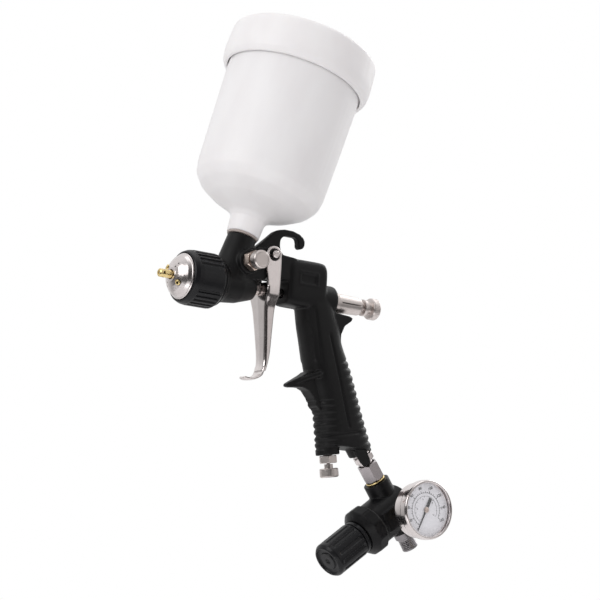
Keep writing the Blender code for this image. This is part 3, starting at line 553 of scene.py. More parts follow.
lid = lathe("lid_moulding", [
    (21.0, 0.0), (21.0, 39.0, 0.8), (20.1, 40.0, 0.8), (20.1, 45.0, 0.8), (21.0, 46.0, 0.8), (21.0, 50.8, 2.6),
    (18.6, 54.1, 3.0), (0.0, 55.2, 30), (-6.0, 54.3, 5), (-9.3, 52.2, 1.6), (-9.5, 50.2, 0.4), (17.9, 50.1, 0.4),
    (17.9, 0.0)], CUP_P, CUP_DIR, 240, 0.5, wave=parting(-0.12, 0.9, SEAM), step=3.0, sharp=50.0)
vent_point = CUP_P + axis_matrix(CUP_DIR) @ Vector((28.0, 0.0, 0.0))
combine(lid, [rod("vent_cut", 15.0, 24.0, 2.9, vent_point, CUP_DIR)], "DIFFERENCE", 50.0)
cast(straighten(lid), "white_nylon", "cup_lid")
vent = lathe("vent_moulding", [
    (16.8, 0.0), (16.8, 2.5), (21.3, 2.5), (21.3, 5.0, 0.4), (23.0, 4.7, 0.6), (23.6, 3.4, 0.5), (23.6, 1.6, 0.3),
    (23.0, 1.2, 0.3), (23.0, 0.0)], vent_point, CUP_DIR, 72, wave=knurl(18, 0.25, 21.4, 23.0, 4.4))
cast(vent, "white_nylon", "lid_vent_plug")
neck_seal = lathe("neck_seal_ring", [(-133.1, 7.6), (-133.1, 11.0), (-131.9, 11.4), (-131.9, 7.6)], CUP_P, CUP_DIR, 96, 0.3)
cast(neck_seal, "seal_tan", "cup_seal")

# ================================================================ gun body
body = lathe("body_moulding", [
    (9.5, 0.0), (9.5, 16.2), (26.3, 16.2), (26.3, 17.9), (27.4, 17.5), (31.8, 13.8), (45.0, 12.6), (58.5, 8.6),
    (58.5, 0.0)], O_P, X_DIR, 72, 0.0)
barrel = []
for x, zc, hz, hy in table_curve(((84.0, 8.5, 16.0, 9.9), (86.5, 8.5, 16.9, 11.6), (93.0, 8.5, 17.2, 12.0),
                                  (112.0, 8.5, 17.2, 12.0), (115.8, 8.0, 16.4, 11.4), (117.0, 7.6, 15.0, 10.4)), 3):
    barrel.append([(x, y, z) for y, z in oval(0.0, zc, hy, hz, 5.0, 64)])
HANDLE = (
    (4.0, 111.0, 13.6, 11.4), (-9.0, 114.8, 14.2, 12.0), (-20.0, 118.2, 15.8, 12.2), (-30.0, 121.2, 15.6, 12.4),
    (-40.0, 125.0, 16.8, 12.7), (-48.0, 128.3, 18.0, 12.9), (-60.0, 132.8, 18.6, 13.0), (-72.0, 137.8, 18.6, 12.9),
    (-85.0, 142.1, 19.9, 12.9), (-97.0, 145.8, 21.6, 13.1), (-104.5, 147.6, 22.3, 13.2))
grip = [[(x, y, z) for x, y in oval(cx, 0.0, hx, hy, 2.6, 72)] for z, cx, hx, hy in table_curve(HANDLE, 4)]
HOOK = [
    (57.0, 27.0), (59.3, 30.0), (66.6, 36.4), (73.9, 43.0), (78.0, 45.2), (82.8, 46.2), (90.0, 46.2), (96.1, 44.6),
    (99.6, 42.2), (100.9, 39.8), (100.9, 37.4), (100.2, 35.4), (98.8, 34.2), (97.2, 33.8), (95.7, 34.6), (95.0, 36.3),
    (94.9, 38.8), (94.2, 40.7), (92.6, 41.7), (84.6, 41.7), (82.0, 40.7), (80.2, 39.0), (79.5, 37.2), (79.4, 33.9),
    (80.6, 30.0), (85.4, 25.2), (85.4, 16.0), (57.0, 16.0)]


def capsule(name, a, b, ra, rb):
    d = b - a
    length = d.length
    prof = [(-ra * math.cos(k * math.pi / 12), ra * math.sin(k * math.pi / 12)) for k in range(7)]
    prof += [(length + rb * math.sin(k * math.pi / 12), rb * math.cos(k * math.pi / 12)) for k in range(7)]
    prof[0], prof[-1] = (-ra, 0.0), (length + rb, 0.0)
    return lathe(name, prof, a, d, 24, 0.0)


def spur_shape():
    """The finger rest under the trigger hand, narrowing toward its rounded tip."""
    rows = ((93.0, -64.4, -65.7, 2.4), (94.0, -63.4, -66.3, 2.8), (96.5, -61.9, -66.3, 3.2), (100.5, -59.6, -65.7, 4.0),
            (105.8, -56.4, -65.3, 4.9), (110.8, -53.0, -67.0, 5.6), (115.4, -51.7, -71.9, 5.8), (119.0, -51.0, -79.0, 5.8),
            (125.0, -50.0, -82.0, 5.8))
    return loft("u_spur", [[(x, -w, low), (x, w, low), (x, w, top), (x, -w, top)] for x, top, low, w in rows])


unions = [
    lathe("u_port", [(-166.0, 0.0), (-166.0, 13.4), (-152.0, 11.9), (-133.4, 10.3), (-133.4, 0.0)], CUP_P, CUP_DIR, 72, 0.0),
    rod("u_fan", -6.0, 16.0, 8.8, FAN_P, Y_NEG, 48),
    prism("u_bridge", [
        (41.0, 5.2), (62.5, 5.2), (66.0, 8.6), (90.0, 8.6), (90.0, 25.2), (77.0, 26.2), (74.2, 29.0),
        (70.6, 30.4), (66.2, 30.2), (61.0, 28.6), (53.0, 27.6), (47.0, 25.6)], -10.3, 10.3),
    loft("u_rear", barrel),
    lathe("u_boss", [(110.0, 0.0), (110.0, 11.3), (127.1, 11.3), (128.3, 10.1), (128.3, 0.0)], O_P, X_DIR, 64, 0.0),
    loft("u_grip", list(reversed(grip))),
    spur_shape(),
    prism("u_tang", [
        (116.0, -4.0), (127.4, -8.3), (133.0, -8.7), (141.4, -9.4), (143.6, -10.6), (142.4, -13.0), (137.0, -17.0),
        (134.2, -23.6), (134.0, -30.0), (118.0, -30.0)], -8.6, 8.6),
    prism("u_hook", HOOK, -2.9, 2.9),
    rod("u_valve", -26.0, -3.1, 8.7, VALVE_P, VALVE_DIR, 48),
    rod("u_inlet", -80.0, -50.0, 9.3, FLOW_P, FLOW_DIR, 48),
]
for side in (-1.0, 1.0):
    unions.append(capsule("u_ridge", Vector((100.0, 2.9 * side, -62.4)), Vector((115.5, 10.6 * side, -54.6)), 1.5, 2.6))
combine(body, unions, "UNION")
combine(body, [
    lathe("c_nozzle", [(8.0, 0.0), (8.0, 7.2), (23.0, 7.2), (23.0, 4.6), (46.0, 4.6), (46.0, 1.7), (50.0, 1.7),
                       (50.0, 3.6), (60.0, 3.6), (60.0, 0.0)], O_P, X_DIR, 40, 0.0),
    lathe("c_ring", [(8.0, 9.4), (8.0, 13.4), (15.0, 13.4), (15.0, 9.4)], O_P, X_DIR, 48, 0.0),
    rod("c_air", 13.0, 100.0, 1.8, Vector((0.0, 6.0, 8.4)), X_DIR, 16),
    lathe("c_cup", [(-130.0, 0.0), (-130.0, 7.5), (-146.0, 7.5), (-146.0, 4.2), (-169.0, 4.2), (-169.0, 0.0)],
          CUP_P, CUP_DIR, 40, 0.0),
    rod("c_fan", 6.6, 18.0, 3.6, FAN_P, Y_NEG, 28),
    rod("c_pivot", -12.0, 12.0, 2.8, PIVOT_P, Y_NEG, 28),
    lathe("c_valve", [(82.0, 0.0), (82.0, 3.6), (94.0, 3.6), (94.0, 6.5), (130.0, 6.5), (130.0, 0.0)], O_P, X_DIR, 40, 0.0),
    rod("c_handle", 0.0, 102.0, 3.6, Vector((112.0, 0.0, -3.0)), Vector((40.0, 0.0, -93.0)), 24),
    rod("c_flow", -27.0, -1.0, 3.9, VALVE_P, VALVE_DIR, 28),
    rod("c_inlet", -70.0, -46.0, 6.0, FLOW_P, FLOW_DIR, 32),
    rod("c_inlet_face", -48.1, -34.0, 11.0, FLOW_P, FLOW_DIR, 40),
    prism("c_label", [(93.4, 9.4), (94.6, 8.4), (105.8, 8.4), (107.0, 9.4), (107.0, 14.2), (105.8, 15.2),
                      (94.6, 15.2), (93.4, 14.2)], -13.0, -10.9),
], "DIFFERENCE")
TAB_P = FLOW_P + FLOW_DIR * -49.5
TAB_OUT = (Y_NEG * 0.84 + KNOB_DIR * 0.54).normalized()
TAB_ALONG = TAB_OUT.cross(FLOW_DIR).normalized()
combine(body, [loft("u_tab", [[TAB_P + FLOW_DIR * s + TAB_ALONG * w * k + TAB_OUT * d for k, d in (
    (-1.0, 8.4), (1.0, 8.4), (1.0, 10.2), (-1.0, 10.2))] for s, w in ((-6.5, 4.4), (4.0, 3.9), (8.0, 2.6))])], "UNION")
melt(body, 0.62, 5)


def smooth_step(x, lo, hi):
    u = np.clip((x - lo) / (hi - lo), 0.0, 1.0)
    return u * u * (3.0 - 2.0 * u)


def carve(ob):
    """Grip ribs, side grooves, the front ridge and the band above the foot, pressed into the moulded skin."""
    me = ob.data
    n = len(me.vertices)
    co, no = np.empty(n * 3, np.float32), np.empty(n * 3, np.float32)
    me.vertices.foreach_get("co", co)
    me.vertex_normals.foreach_get("vector", no)
    co, no = co.reshape(-1, 3).astype(float), no.reshape(-1, 3).astype(float)
    p = co / MM + np.array(HANG)
    x, y, z = p.T
    rows = np.array(HANDLE)[::-1]
    cx, hx, hy = (np.interp(z, rows[:, 0], rows[:, k]) for k in (1, 2, 3))
    shell = (np.abs((x - cx) / hx) ** 2.6 + np.abs(y / hy) ** 2.6) ** (1 / 2.6)
    skin = ((shell > 0.86) & (z < 2.0)).astype(float)
    push = np.zeros(n)

    def ribs(a, b, count, out, depth):
        a, b = np.array(a), np.array(b)
        d = (b - a) / np.linalg.norm(b - a)
        length = np.linalg.norm(b - a)
        s = (x - a[0]) * d[0] + (z - a[1]) * d[1]
        face = no[:, 0] * out[0] + no[:, 2] * out[1]
        scallop = 1.0 - np.abs(np.sin(np.pi * s / (length / count)))
        window = smooth_step(s, -1.0, 0.6) * (1.0 - smooth_step(s, length - 0.6, length + 1.0))
        return -depth * scallop ** 1.15 * window * smooth_step(face, -0.02, 0.62)

    push += skin * ribs((144.9, -39.1), (172.2, -99.8), 12, (0.912, 0.41), 1.25)
    push += skin * ribs((116.9, -74.4), (123.3, -108.0), 7, (-0.985, -0.171), 1.25)

    def line(a, b, width, depth, lo=0.5):
        a, b = np.array(a), np.array(b)
        length = np.linalg.norm(b - a)
        d = (b - a) / length
        s = (x - a[0]) * d[0] + (z - a[1]) * d[1]
        w = np.abs((x - a[0]) * d[1] - (z - a[1]) * d[0])
        window = smooth_step(s, -1.0, 2.0) * (1.0 - smooth_step(s, length - 2.0, length + 1.0))
        return depth * np.exp(-(w / width) ** 2) * window * smooth_step(np.abs(no[:, 1]), lo - 0.2, lo + 0.1)

    push += skin * line((121.4, -24.6), (143.4, -91.0), 0.95, -0.95)
    push += skin * line((121.0, -99.6), (154.0, -92.4), 0.95, -0.95)
    push += skin * line((103.6, -6.0), (112.6, -46.0), 0.9, 0.6, 0.3)
    push += skin * line((107.4, -8.0), (116.4, -48.0), 1.1, -0.5, 0.3)
    rim = (np.abs(y) > 10.5).astype(float) * (z > 6.0) * (z < 17.5) * (x > 90.0) * (x < 110.5)
    u, v = np.abs(x - 100.2) - 7.6, np.abs(z - 11.8) - 4.1
    frame_d = np.where((u > 0) & (v > 0), np.hypot(u, v), np.maximum(u, v))
    push += rim * 0.35 * np.exp(-(np.abs(frame_d - 0.4) / 0.7) ** 2)
    co += no * (push * MM)[:, None]
    me.vertices.foreach_set("co", co.astype(np.float32).ravel())
    me.update()


straighten(body)
carve(body)
cast(body, "black_composite", "gun_body")


# ================================================================ air head
def ring_grooves(t, a, r):
    if r < 18.6 or t < 4.2 or t > 23.8:
        return r
    ease = min(1.0, (t - 4.2) / 1.6, (23.8 - t) / 1.6)
    off = min(abs(math.remainder(a - math.pi - math.radians(c), 2.0 * math.pi)) for c in (35.0, 155.0, 275.0))
    if off > math.radians(36.0):
        return r
    g = 0.5 - 0.5 * math.cos(30.0 * (a - math.radians(35.0)))
    return r - 1.1 * ease * min(1.0, max(0.0, (g - 0.36) / 0.26))


ring = lathe("ring_moulding", [
    (-0.5, 16.9, 0.3), (0.4, 18.1, 0.8), (3.0, 19.2, 1.5), (6.2, 19.6, 2.0), (23.6, 19.6, 1.8), (26.0, 18.0, 0.8),
    (26.0, 16.5), (8.2, 16.5), (8.2, 17.9), (1.8, 17.9), (1.8, 16.8)], O_P, X_DIR, 336, 0.25,
    wave=ring_grooves, step=0.7, span=(3.0, 25.0), sharp=40.0)
cast(ring, "black_knob", "air_cap_ring")

cap = lathe("cap_turning", [
    (7.8, 17.5), (2.1, 17.5), (2.1, 16.4), (-0.7, 16.35, 0.5), (-1.3, 15.9, 0.4), (-1.5, 15.5, 0.4), (-2.0, 15.3, 0.4),
    (-3.8, 14.2, 3), (-6.2, 11.6, 4), (-8.2, 8.4, 3), (-9.1, 5.9, 0.8), (-9.45, 5.2, 0.3), (-9.6, 3.6, 0.3), (-7.8, 3.5),
    (-7.4, 5.6, 1), (-5.2, 8.6, 2), (-1.2, 12.4, 2), (1.6, 14.2, 2), (7.8, 14.4)], O_P, X_DIR, 144, 0.25)
JETS = {}
for tag, side in (("near", -1.0), ("far", 1.0)):
    across = Vector((0.0, math.cos(math.radians(40.0)), math.sin(math.radians(40.0)))) * side
    JETS[tag] = (Vector((-6.2, 0.0, 0.0)) + across * 8.4, (Vector((-0.80, 0.0, 0.0)) + across * 0.60).normalized())
turn90 = Vector((0.0, -math.sin(math.radians(40.0)), math.cos(math.radians(40.0))))
cuts = [rod("c_" + k, -5.0, 5.0, 2.3, p, d, 32) for k, (p, d) in JETS.items()]
for side in (-1.0, 1.0):
    for reach, drop in ((6.9, -8.8), (9.8, -7.4)):
        for turn in (turn90 * side,):
            c = Vector((drop, 0.0, 0.0)) + turn * reach
            cuts.append(rod("c_vent", -3.2, 3.2, 0.55, c, (Vector((-0.75, 0.0, 0.0)) + turn * 0.66), 20))
combine(cap, cuts, "DIFFERENCE")
cast(cap, "nickel_bright", "air_cap")
for tag, (p, d) in JETS.items():
    jet = lathe("jet_" + tag, [(-2.6, 0.9), (-2.6, 1.9), (1.9, 1.9, 0.3), (2.3, 2.05, 0.2), (3.0, 1.5, 0.3), (3.0, 0.9, 0.15)],
                p, d, 64, 0.2)
    cast(jet, "bare_brass", "side_jet_" + tag)

nozzle = lathe("nozzle_turning", [
    (-19.2, 2.2, 0.3), (-18.6, 3.0, 0.5), (-12.4, 3.0, 0.2),
    (-6.8, 3.0), (-4.3, 4.6), (1.0, 6.2), (4.0, 6.2), (4.0, 8.2), (8.6, 8.2), (8.6, 6.8), (22.0, 6.8),
    (22.0, 3.4), (2.0, 3.4), (-4.0, 2.0), (-16.5, 1.7), (-19.2, 1.1, 0.2)], O_P, X_DIR, 96, 0.3)
combine(nozzle, [rod("c_cross", -6.0, 6.0, 1.1, Vector((-16.2, 0.0, 0.0)), Y_NEG, 24),
                 rod("c_cross2", -6.0, 6.0, 1.1, Vector((-16.2, 0.0, 0.0)), Vector((0.0, 0.0, 1.0)), 24)], "DIFFERENCE")
cast(nozzle, "bare_brass", "fluid_nozzle")
gland = lathe("gland_nut", [(55.7, 1.6), (55.7, 3.3), (58.8, 3.3), (58.8, 4.1), (59.4, 4.5), (63.0, 4.5), (63.6, 4.1), (63.6, 1.6)],
              O_P, X_DIR, 96, 0.15, wave=hexagon(4.0), step=0.4)
cast(gland, "nickel_plate", "packing_nut")

# ================================================================ fan control
fan_nut = lathe("fan_nut_turning", [
    (7.0, 1.6), (7.0, 3.3), (16.3, 3.3), (16.3, 6.4), (17.1, 7.45), (21.8, 7.45), (22.6, 6.4), (22.6, 1.6)],
    FAN_P, Y_NEG, 96, 0.15, wave=hexagon(6.45), step=0.4, sharp=28.0)
cast(fan_nut, "nickel_warm", "fan_valve_nut")
fan_knob = lathe("fan_knob_turning", [
    (23.0, 1.6), (23.0, 4.2), (24.2, 4.2), (24.2, 6.0, 0.3), (24.7, 6.55, 0.3), (30.0, 6.57, 0.6), (30.9, 5.7, 0.4),
    (30.9, 5.0, 0.3), (30.6, 4.7, 0.3), (30.6, 0.0), (28.4, 0.0), (28.4, 1.6)], FAN_P, Y_NEG, 264, 0.2,
    wave=knurl(44, 0.09, 24.9, 29.7, 6.3), step=0.6, span=(24.0, 31.0))
cast(fan_knob, "nickel_plate", "fan_knob")

# ================================================================ trigger
TRIG = (
    (4.6, 64.4, 75.1, 12.7), (-3.0, 64.7, 75.1, 12.4), (-10.0, 65.4, 74.3, 10.2), (-16.0, 66.2, 74.0, 9.0),
    (-30.0, 68.0, 74.2, 7.8), (-45.0, 69.6, 74.3, 6.6), (-53.0, 69.9, 73.2, 6.3), (-58.0, 68.8, 71.9, 6.2))
S = 1.6


def channel(z, xf, xr, w):
    """One level of the pressed channel: outer skin round the front, then back along the inside."""
    outer, inner = [], []
    ro, ri = 2.3, 0.8
    for sign in (-1.0, 1.0):
        arc_o = [(xf + ro - ro * math.sin(k * math.pi / 12), sign * (w - ro + ro * math.cos(k * math.pi / 12)))
                 for k in range(7)]
        arc_i = [(xf + S + ri - ri * math.sin(k * math.pi / 12), sign * (w - S - ri + ri * math.cos(k * math.pi / 12)))
                 for k in range(7)]
        if sign < 0:
            outer += [(xr - 0.4, -w)] + arc_o
            inner = list(reversed(arc_i)) + [(xr - 0.4, -(w - S)), (xr, -(w - S * 0.5))]
        else:
            outer += [(xf - 0.35 * min(1.0, w / 12.0), 0.0)] + list(reversed(arc_o)) + [(xr - 0.4, w), (xr, w - S * 0.5), (xr - 0.4, w - S)]
            outer += arc_i + [(xf + S - 0.1, 0.0)]
    return [(x, y, z) for x, y in outer + inner]


trigger = loft("trigger_pressing", [channel(*row) for row in reversed(table_curve(TRIG, 5))])
lip_rings = []
for x, z, nx, nz, w in table_curve(((69.6, -55.0, 1.0, 0.0, 6.1), (69.2, -57.6, 0.93, -0.36, 6.1), (67.8, -60.6, 0.75, -0.66, 6.1),
                                    (63.6, -63.0, 0.30, -0.95, 6.0), (59.6, -63.6, 0.10, -0.99, 5.6),
                                    (57.6, -63.4, -0.18, -0.98, 4.8), (56.3, -62.9, -0.45, -0.89, 3.4)), 5):
    k = 1.75 / math.hypot(nx, nz)
    row = [(x + nx * k * (0.5 - 0.5 * math.cos(b)), 0.0, z + nz * k * (0.5 - 0.5 * math.cos(b))) for b in (0.0,)]
    pts = []
    for i in range(28):
        a = 2.0 * math.pi * i / 28
        c, s = math.cos(a), math.sin(a)
        u = 0.5 + 0.5 * math.copysign(abs(s) ** 0.5, s)
        v = math.copysign(abs(c) ** 0.35, c)
        dish = 0.5 * (1.0 - v * v)
        pts.append((x + nx * k * u + nx * dish, w * v, z + nz * k * u + nz * dish))
    lip_rings.append(pts)
lip = loft("u_lip", lip_rings)
ears = []
for y0, y1 in ((-12.7, -11.1), (11.1, 12.7)):
    top = [(68.5 + 6.3 * math.cos(a), 24.6 + 6.3 * math.sin(a)) for a in (math.radians(180.0 - 5.0 * i) for i in range(37))]
    left = [(64.4, 2.0), (64.3, 4.6), (63.6, 9.0), (62.7, 13.0), (62.25, 17.0), (62.2, 21.0)]
    right = [(74.9, 21.0), (75.15, 16.0), (75.2, 11.0), (75.1, 2.0)]
    ears.append(prism("u_ear", left + top + right, y0, y1))
combine(trigger, [lip] + ears, "UNION", 40.0)
combine(trigger, [rod("c_ear", -16.0, 16.0, 4.4, PIVOT_P, Y_NEG, 56),
                  prism("c_slot", [(62.0, -2.8), (68.0, -2.8), (68.0, 8.0), (62.0, 8.0)], -2.8, 2.8)], "DIFFERENCE", 40.0)
melt(trigger, 0.32, 12)
cast(trigger, "chrome_plate", "trigger")

stud = lathe("stud_turning", [
    (-12.0, 1.7), (-12.0, 2.4), (12.4, 2.4), (12.4, 2.75), (14.8, 2.75, 0.5), (15.5, 2.0, 0.3), (15.5, 0.0), (-3.0, 0.0),
    (-3.0, 1.7)], PIVOT_P, Y_NEG, 72, 0.15)
combine(stud, [prism("c_driver", [(65.0, 24.1), (72.0, 24.1), (72.0, 25.1), (65.0, 25.1)], -17.0, -14.7)], "DIFFERENCE")
cast(stud, "nickel_bright", "trigger_pivot_stud")
screw = lathe("screw_turning", [
    (-3.6, 0.0), (-3.6, 1.4), (-12.9, 1.4), (-12.9, 3.4, 0.3), (-14.4, 3.2, 0.5), (-15.0, 2.0, 0.4), (-15.0, 0.0)],
    PIVOT_P, Y_NEG, 72, 0.15)
combine(screw, [prism("c_driver", [(64.0, 24.1), (73.0, 24.1), (73.0, 25.1), (64.0, 25.1)], 14.0, 17.0)], "DIFFERENCE")
cast(screw, "nickel_bright", "trigger_screw")
for tag, side in (("near", 1.0), ("far", -1.0)):
    cast(lathe("bush_" + tag, [(10.6 * side, 3.0), (10.6 * side, 4.1), (12.2 * side, 4.1), (12.2 * side, 3.0)], PIVOT_P, Y_NEG,
               72, 0.15), "black_knob", "trigger_bush_" + tag)
valve = lathe("valve_stem_turning", [
    (66.9, 1.6), (66.9, 4.2, 0.3), (68.2, 4.6, 0.3), (68.6, 2.9, 0.3), (98.8, 2.9), (98.8, 5.4), (102.0, 5.4), (102.0, 2.9),
    (107.0, 2.9), (107.0, 1.6)], O_P, X_DIR, 72, 0.15)
cast(valve, "nickel_bright", "air_valve_stem")

# ================================================================ fluid control at the rear
sleeve = lathe("sleeve_turning", [
    (119.3, 2.4), (119.3, 6.2), (128.6, 6.2), (128.6, 7.6, 0.2), (132.4, 7.65, 0.2), (132.8, 7.25, 0.3), (152.6, 6.4, 0.4),
    (153.6, 5.6, 0.3), (153.6, 3.9), (123.0, 3.9), (123.0, 2.4)], O_P, X_DIR, 96, 0.2)
combine(sleeve, [prism("c_slit", [(134.0, -0.4), (157.0, -0.4), (157.0, 0.4), (134.0, 0.4)], -9.0, -1.0)], "DIFFERENCE")
cast(sleeve, "nickel_plate", "fluid_sleeve")
fluid_knob = lathe("fluid_knob_turning", [
    (150.4, 0.0), (150.4, 3.5), (156.4, 3.5), (156.4, 6.1, 0.3), (158.8, 6.1, 0.4), (159.4, 4.4, 0.3), (162.4, 4.4, 0.3),
    (162.9, 7.2, 0.3), (163.6, 7.9, 0.4), (168.0, 7.9, 0.7), (169.2, 6.9, 0.5), (169.4, 5.4, 0.3), (169.1, 5.0, 0.3),
    (169.1, 0.0)], O_P, X_DIR, 264, 0.2, wave=knurl(44, 0.10, 163.8, 167.8, 7.6), step=0.6, span=(163.0, 169.0))
cast(fluid_knob, "nickel_plate", "fluid_knob")

# ================================================================ bottom air control
flow_nut = lathe("flow_nut_turning", [
    (-14.0, 2.0), (-14.0, 3.5), (-2.8, 3.5), (-2.8, 5.9), (-2.0, 6.9), (2.0, 6.9), (2.8, 5.9), (2.8, 2.0)],
    VALVE_P, VALVE_DIR, 96, 0.15, wave=hexagon(5.97), step=0.4, sharp=28.0)
cast(flow_nut, "nickel_plate", "air_flow_nut")
flow_knob = lathe("flow_knob_turning", [
    (3.4, 1.8), (3.4, 3.2), (6.4, 3.2), (6.4, 6.2, 0.3), (6.9, 6.75, 0.3), (12.1, 6.85, 0.5), (13.0, 6.0, 0.3), (13.0, 5.0, 0.3),
    (12.7, 4.7, 0.3), (12.7, 0.0), (9.8, 0.0), (9.8, 1.8)], VALVE_P, VALVE_DIR, 264, 0.2,
    wave=knurl(44, 0.09, 7.0, 12.0, 6.4), step=0.6, span=(6.0, 13.0))
cast(flow_knob, "nickel_plate", "air_flow_knob")

# ================================================================ inlet and swivel
inlet = lathe("inlet_turning", [
    (-66.0, 2.8), (-66.0, 5.6), (-47.8, 5.6), (-47.8, 7.0), (-47.0, 8.0), (-43.6, 8.0), (-42.8, 7.0), (-42.8, 4.9),
    (-35.0, 4.9), (-35.0, 2.8)], FLOW_P, FLOW_DIR, 96, 0.15, wave=hexagon(7.0), step=0.4, sharp=28.0)
cast(inlet, "nickel_bright", "inlet_fitting")
swivel = lathe("swivel_turning", [
    (-40.0, 6.1), (-40.0, 7.0), (-39.1, 8.1), (-27.8, 8.1), (-26.7, 7.0), (-26.7, 4.7), (-30.6, 4.7), (-30.6, 6.1)],
    FLOW_P, FLOW_DIR, 96, 0.15, wave=hexagon(7.02), step=0.4, sharp=28.0)
cast(swivel, "nickel_dark", "swivel_nut")
inlet_seal = lathe("seal_turning", [(-26.4, 4.1), (-26.4, 7.4, 0.4), (-25.1, 7.4, 0.4), (-25.1, 4.1)], FLOW_P, FLOW_DIR, 96, 0.2)
cast(inlet_seal, "bare_brass", "inlet_seal_ring")

# ================================================================ regulator
reg = lathe("regulator_casting", [(-11.0, 0.0), (-11.0, 15.0), (-9.8, 16.2), (21.0, 16.2), (21.0, 0.0)], REG_P, KNOB_DIR, 96, 0.0)
pad = bmesh.new()
bmesh.ops.create_cube(pad, size=1.0)
bmesh.ops.scale(pad, vec=(15.0, 4.0, 15.0), verts=pad.verts)
pad_ob = to_object("u_pad", pad, REG_P + KNOB_DIR * 11.0 + Vector((0.0, -14.4, 0.0)),
                   axis_matrix(KNOB_DIR))
combine(reg, [
    rod("u_top", -24.8, 0.0, 9.8, FLOW_P, FLOW_DIR, 64), rod("u_low", 0.0, 17.4, 8.5, FLOW_P, FLOW_DIR, 64),
    rod("u_gauge", 0.0, 17.2, 6.2, GAUGE_P, Y_NEG, 48), pad_ob], "UNION")
combine(reg, [
    lathe("c_bore", [(-12.0, 0.0), (-12.0, 5.2), (0.8, 5.2), (0.8, 2.2), (5.0, 2.2), (5.0, 12.0), (22.0, 12.0), (22.0, 0.0)],
          REG_P, KNOB_DIR, 48, 0.0),
    rod("c_in", -26.0, -2.0, 4.1, FLOW_P, FLOW_DIR, 32), rod("c_out", 2.0, 23.0, 5.0, FLOW_P, FLOW_DIR, 32),
    rod("c_g", 2.0, 18.0, 3.7, GAUGE_P, Y_NEG, 32)], "DIFFERENCE")
melt(reg, 0.45, 4)
cast(reg, "black_cast_metal", "regulator_body")
plug = lathe("plug_turning", [
    (-14.0, 0.0), (-14.0, 7.0), (-13.2, 8.2), (-12.0, 8.2), (-11.3, 7.2), (-11.3, 4.9), (-9.4, 4.9), (-9.4, 0.0)],
    REG_P, KNOB_DIR, 96, 0.15, wave=hexagon(7.1), step=0.4, sharp=28.0)
cast(plug, "nickel_plate", "regulator_plug")


def bonnet_lobes(t, a, r):
    if r < 16.0 or t > 31.6:
        return r
    return min(r, 18.0 / math.cos(a % (math.pi / 5.0) - math.pi / 10.0))


bonnet = lathe("bonnet_moulding", [
    (22.7, 18.0, 0.3), (23.4, 18.7, 0.6), (30.0, 18.7, 1.2), (33.0, 15.6, 1.5), (34.8, 13.4, 0.6), (34.8, 9.6), (54.0, 9.6),
    (54.0, 3.4), (51.2, 3.4), (51.2, 7.8), (22.7, 7.8)], REG_P, KNOB_DIR, 192, 0.3, wave=bonnet_lobes, step=0.8,
    span=(22.0, 34.0), sharp=40.0)
cast(bonnet, "black_cast_metal", "regulator_bonnet")
collar = lathe("collar_moulding", [
    (35.2, 9.9), (35.2, 12.3, 0.4), (36.0, 12.9, 0.5), (38.6, 12.9, 0.5), (38.6, 9.9)], REG_P, KNOB_DIR, 192, 0.3)
cast(collar, "black_knob", "regulator_collar")


def knob_ribs(t, a, r):
    if r < 12.4 or t < 40.6 or t > 64.2:
        return r
    ease = min(1.0, (t - 40.6) / 1.2, (64.2 - t) / 1.4)
    g = 0.5 - 0.5 * math.cos(12.0 * a)
    return r - 0.85 * max(0.0, ease) * min(1.0, max(0.0, (g - 0.50) / 0.32))


reg_knob = lathe("knob_moulding", [
    (39.1, 10.2), (39.1, 12.6, 0.5), (40.2, 13.3, 0.8), (66.6, 13.3, 2.0), (68.8, 11.6, 1.2), (68.8, 10.4, 0.4),
    (67.5, 9.9, 0.4), (67.3, 6.9, 0.4), (68.2, 6.5, 0.4), (68.2, 2.4, 0.4), (67.2, 1.6, 0.5), (67.0, 0.0), (62.4, 0.0),
    (62.4, 3.3), (57.0, 3.3), (57.0, 10.2)], REG_P, KNOB_DIR, 256, 0.3, wave=knob_ribs, step=0.7, span=(39.5, 66.0),
    sharp=40.0)
cast(straighten(reg_knob), "black_knob", "regulator_knob")


def thread(t0, t1, pitch, depth, r_min):
    def wave(t, a, r):
        if r < r_min or t < t0 or t > t1:
            return r
        u = (t / pitch - a / (2.0 * math.pi)) % 1.0
        ease = min(1.0, (t - t0) / pitch, (t1 - t) / pitch)
        return r - depth * ease * (1.0 - abs(2.0 * u - 1.0))
    return wave


nipple = lathe("nipple_turning", [
    (12.0, 2.6), (12.0, 4.6), (17.7, 4.6), (17.7, 6.5, 0.2), (18.2, 7.0, 0.2), (22.1, 7.0, 0.2), (22.6, 6.6, 0.2), (22.6, 5.9),
    (23.4, 5.9), (31.7, 6.2), (32.4, 5.7), (32.4, 2.6)], FLOW_P, FLOW_DIR, 96, 0.12,
    wave=thread(23.2, 32.0, 1.3, 0.45, 5.7), step=0.16, span=(22.9, 32.3), sharp=60.0)
# The threaded barrel takes the nickel that has painted shade in its colour.
cast(straighten(nipple), "nickel_thread_painted_shade", "hose_nipple")

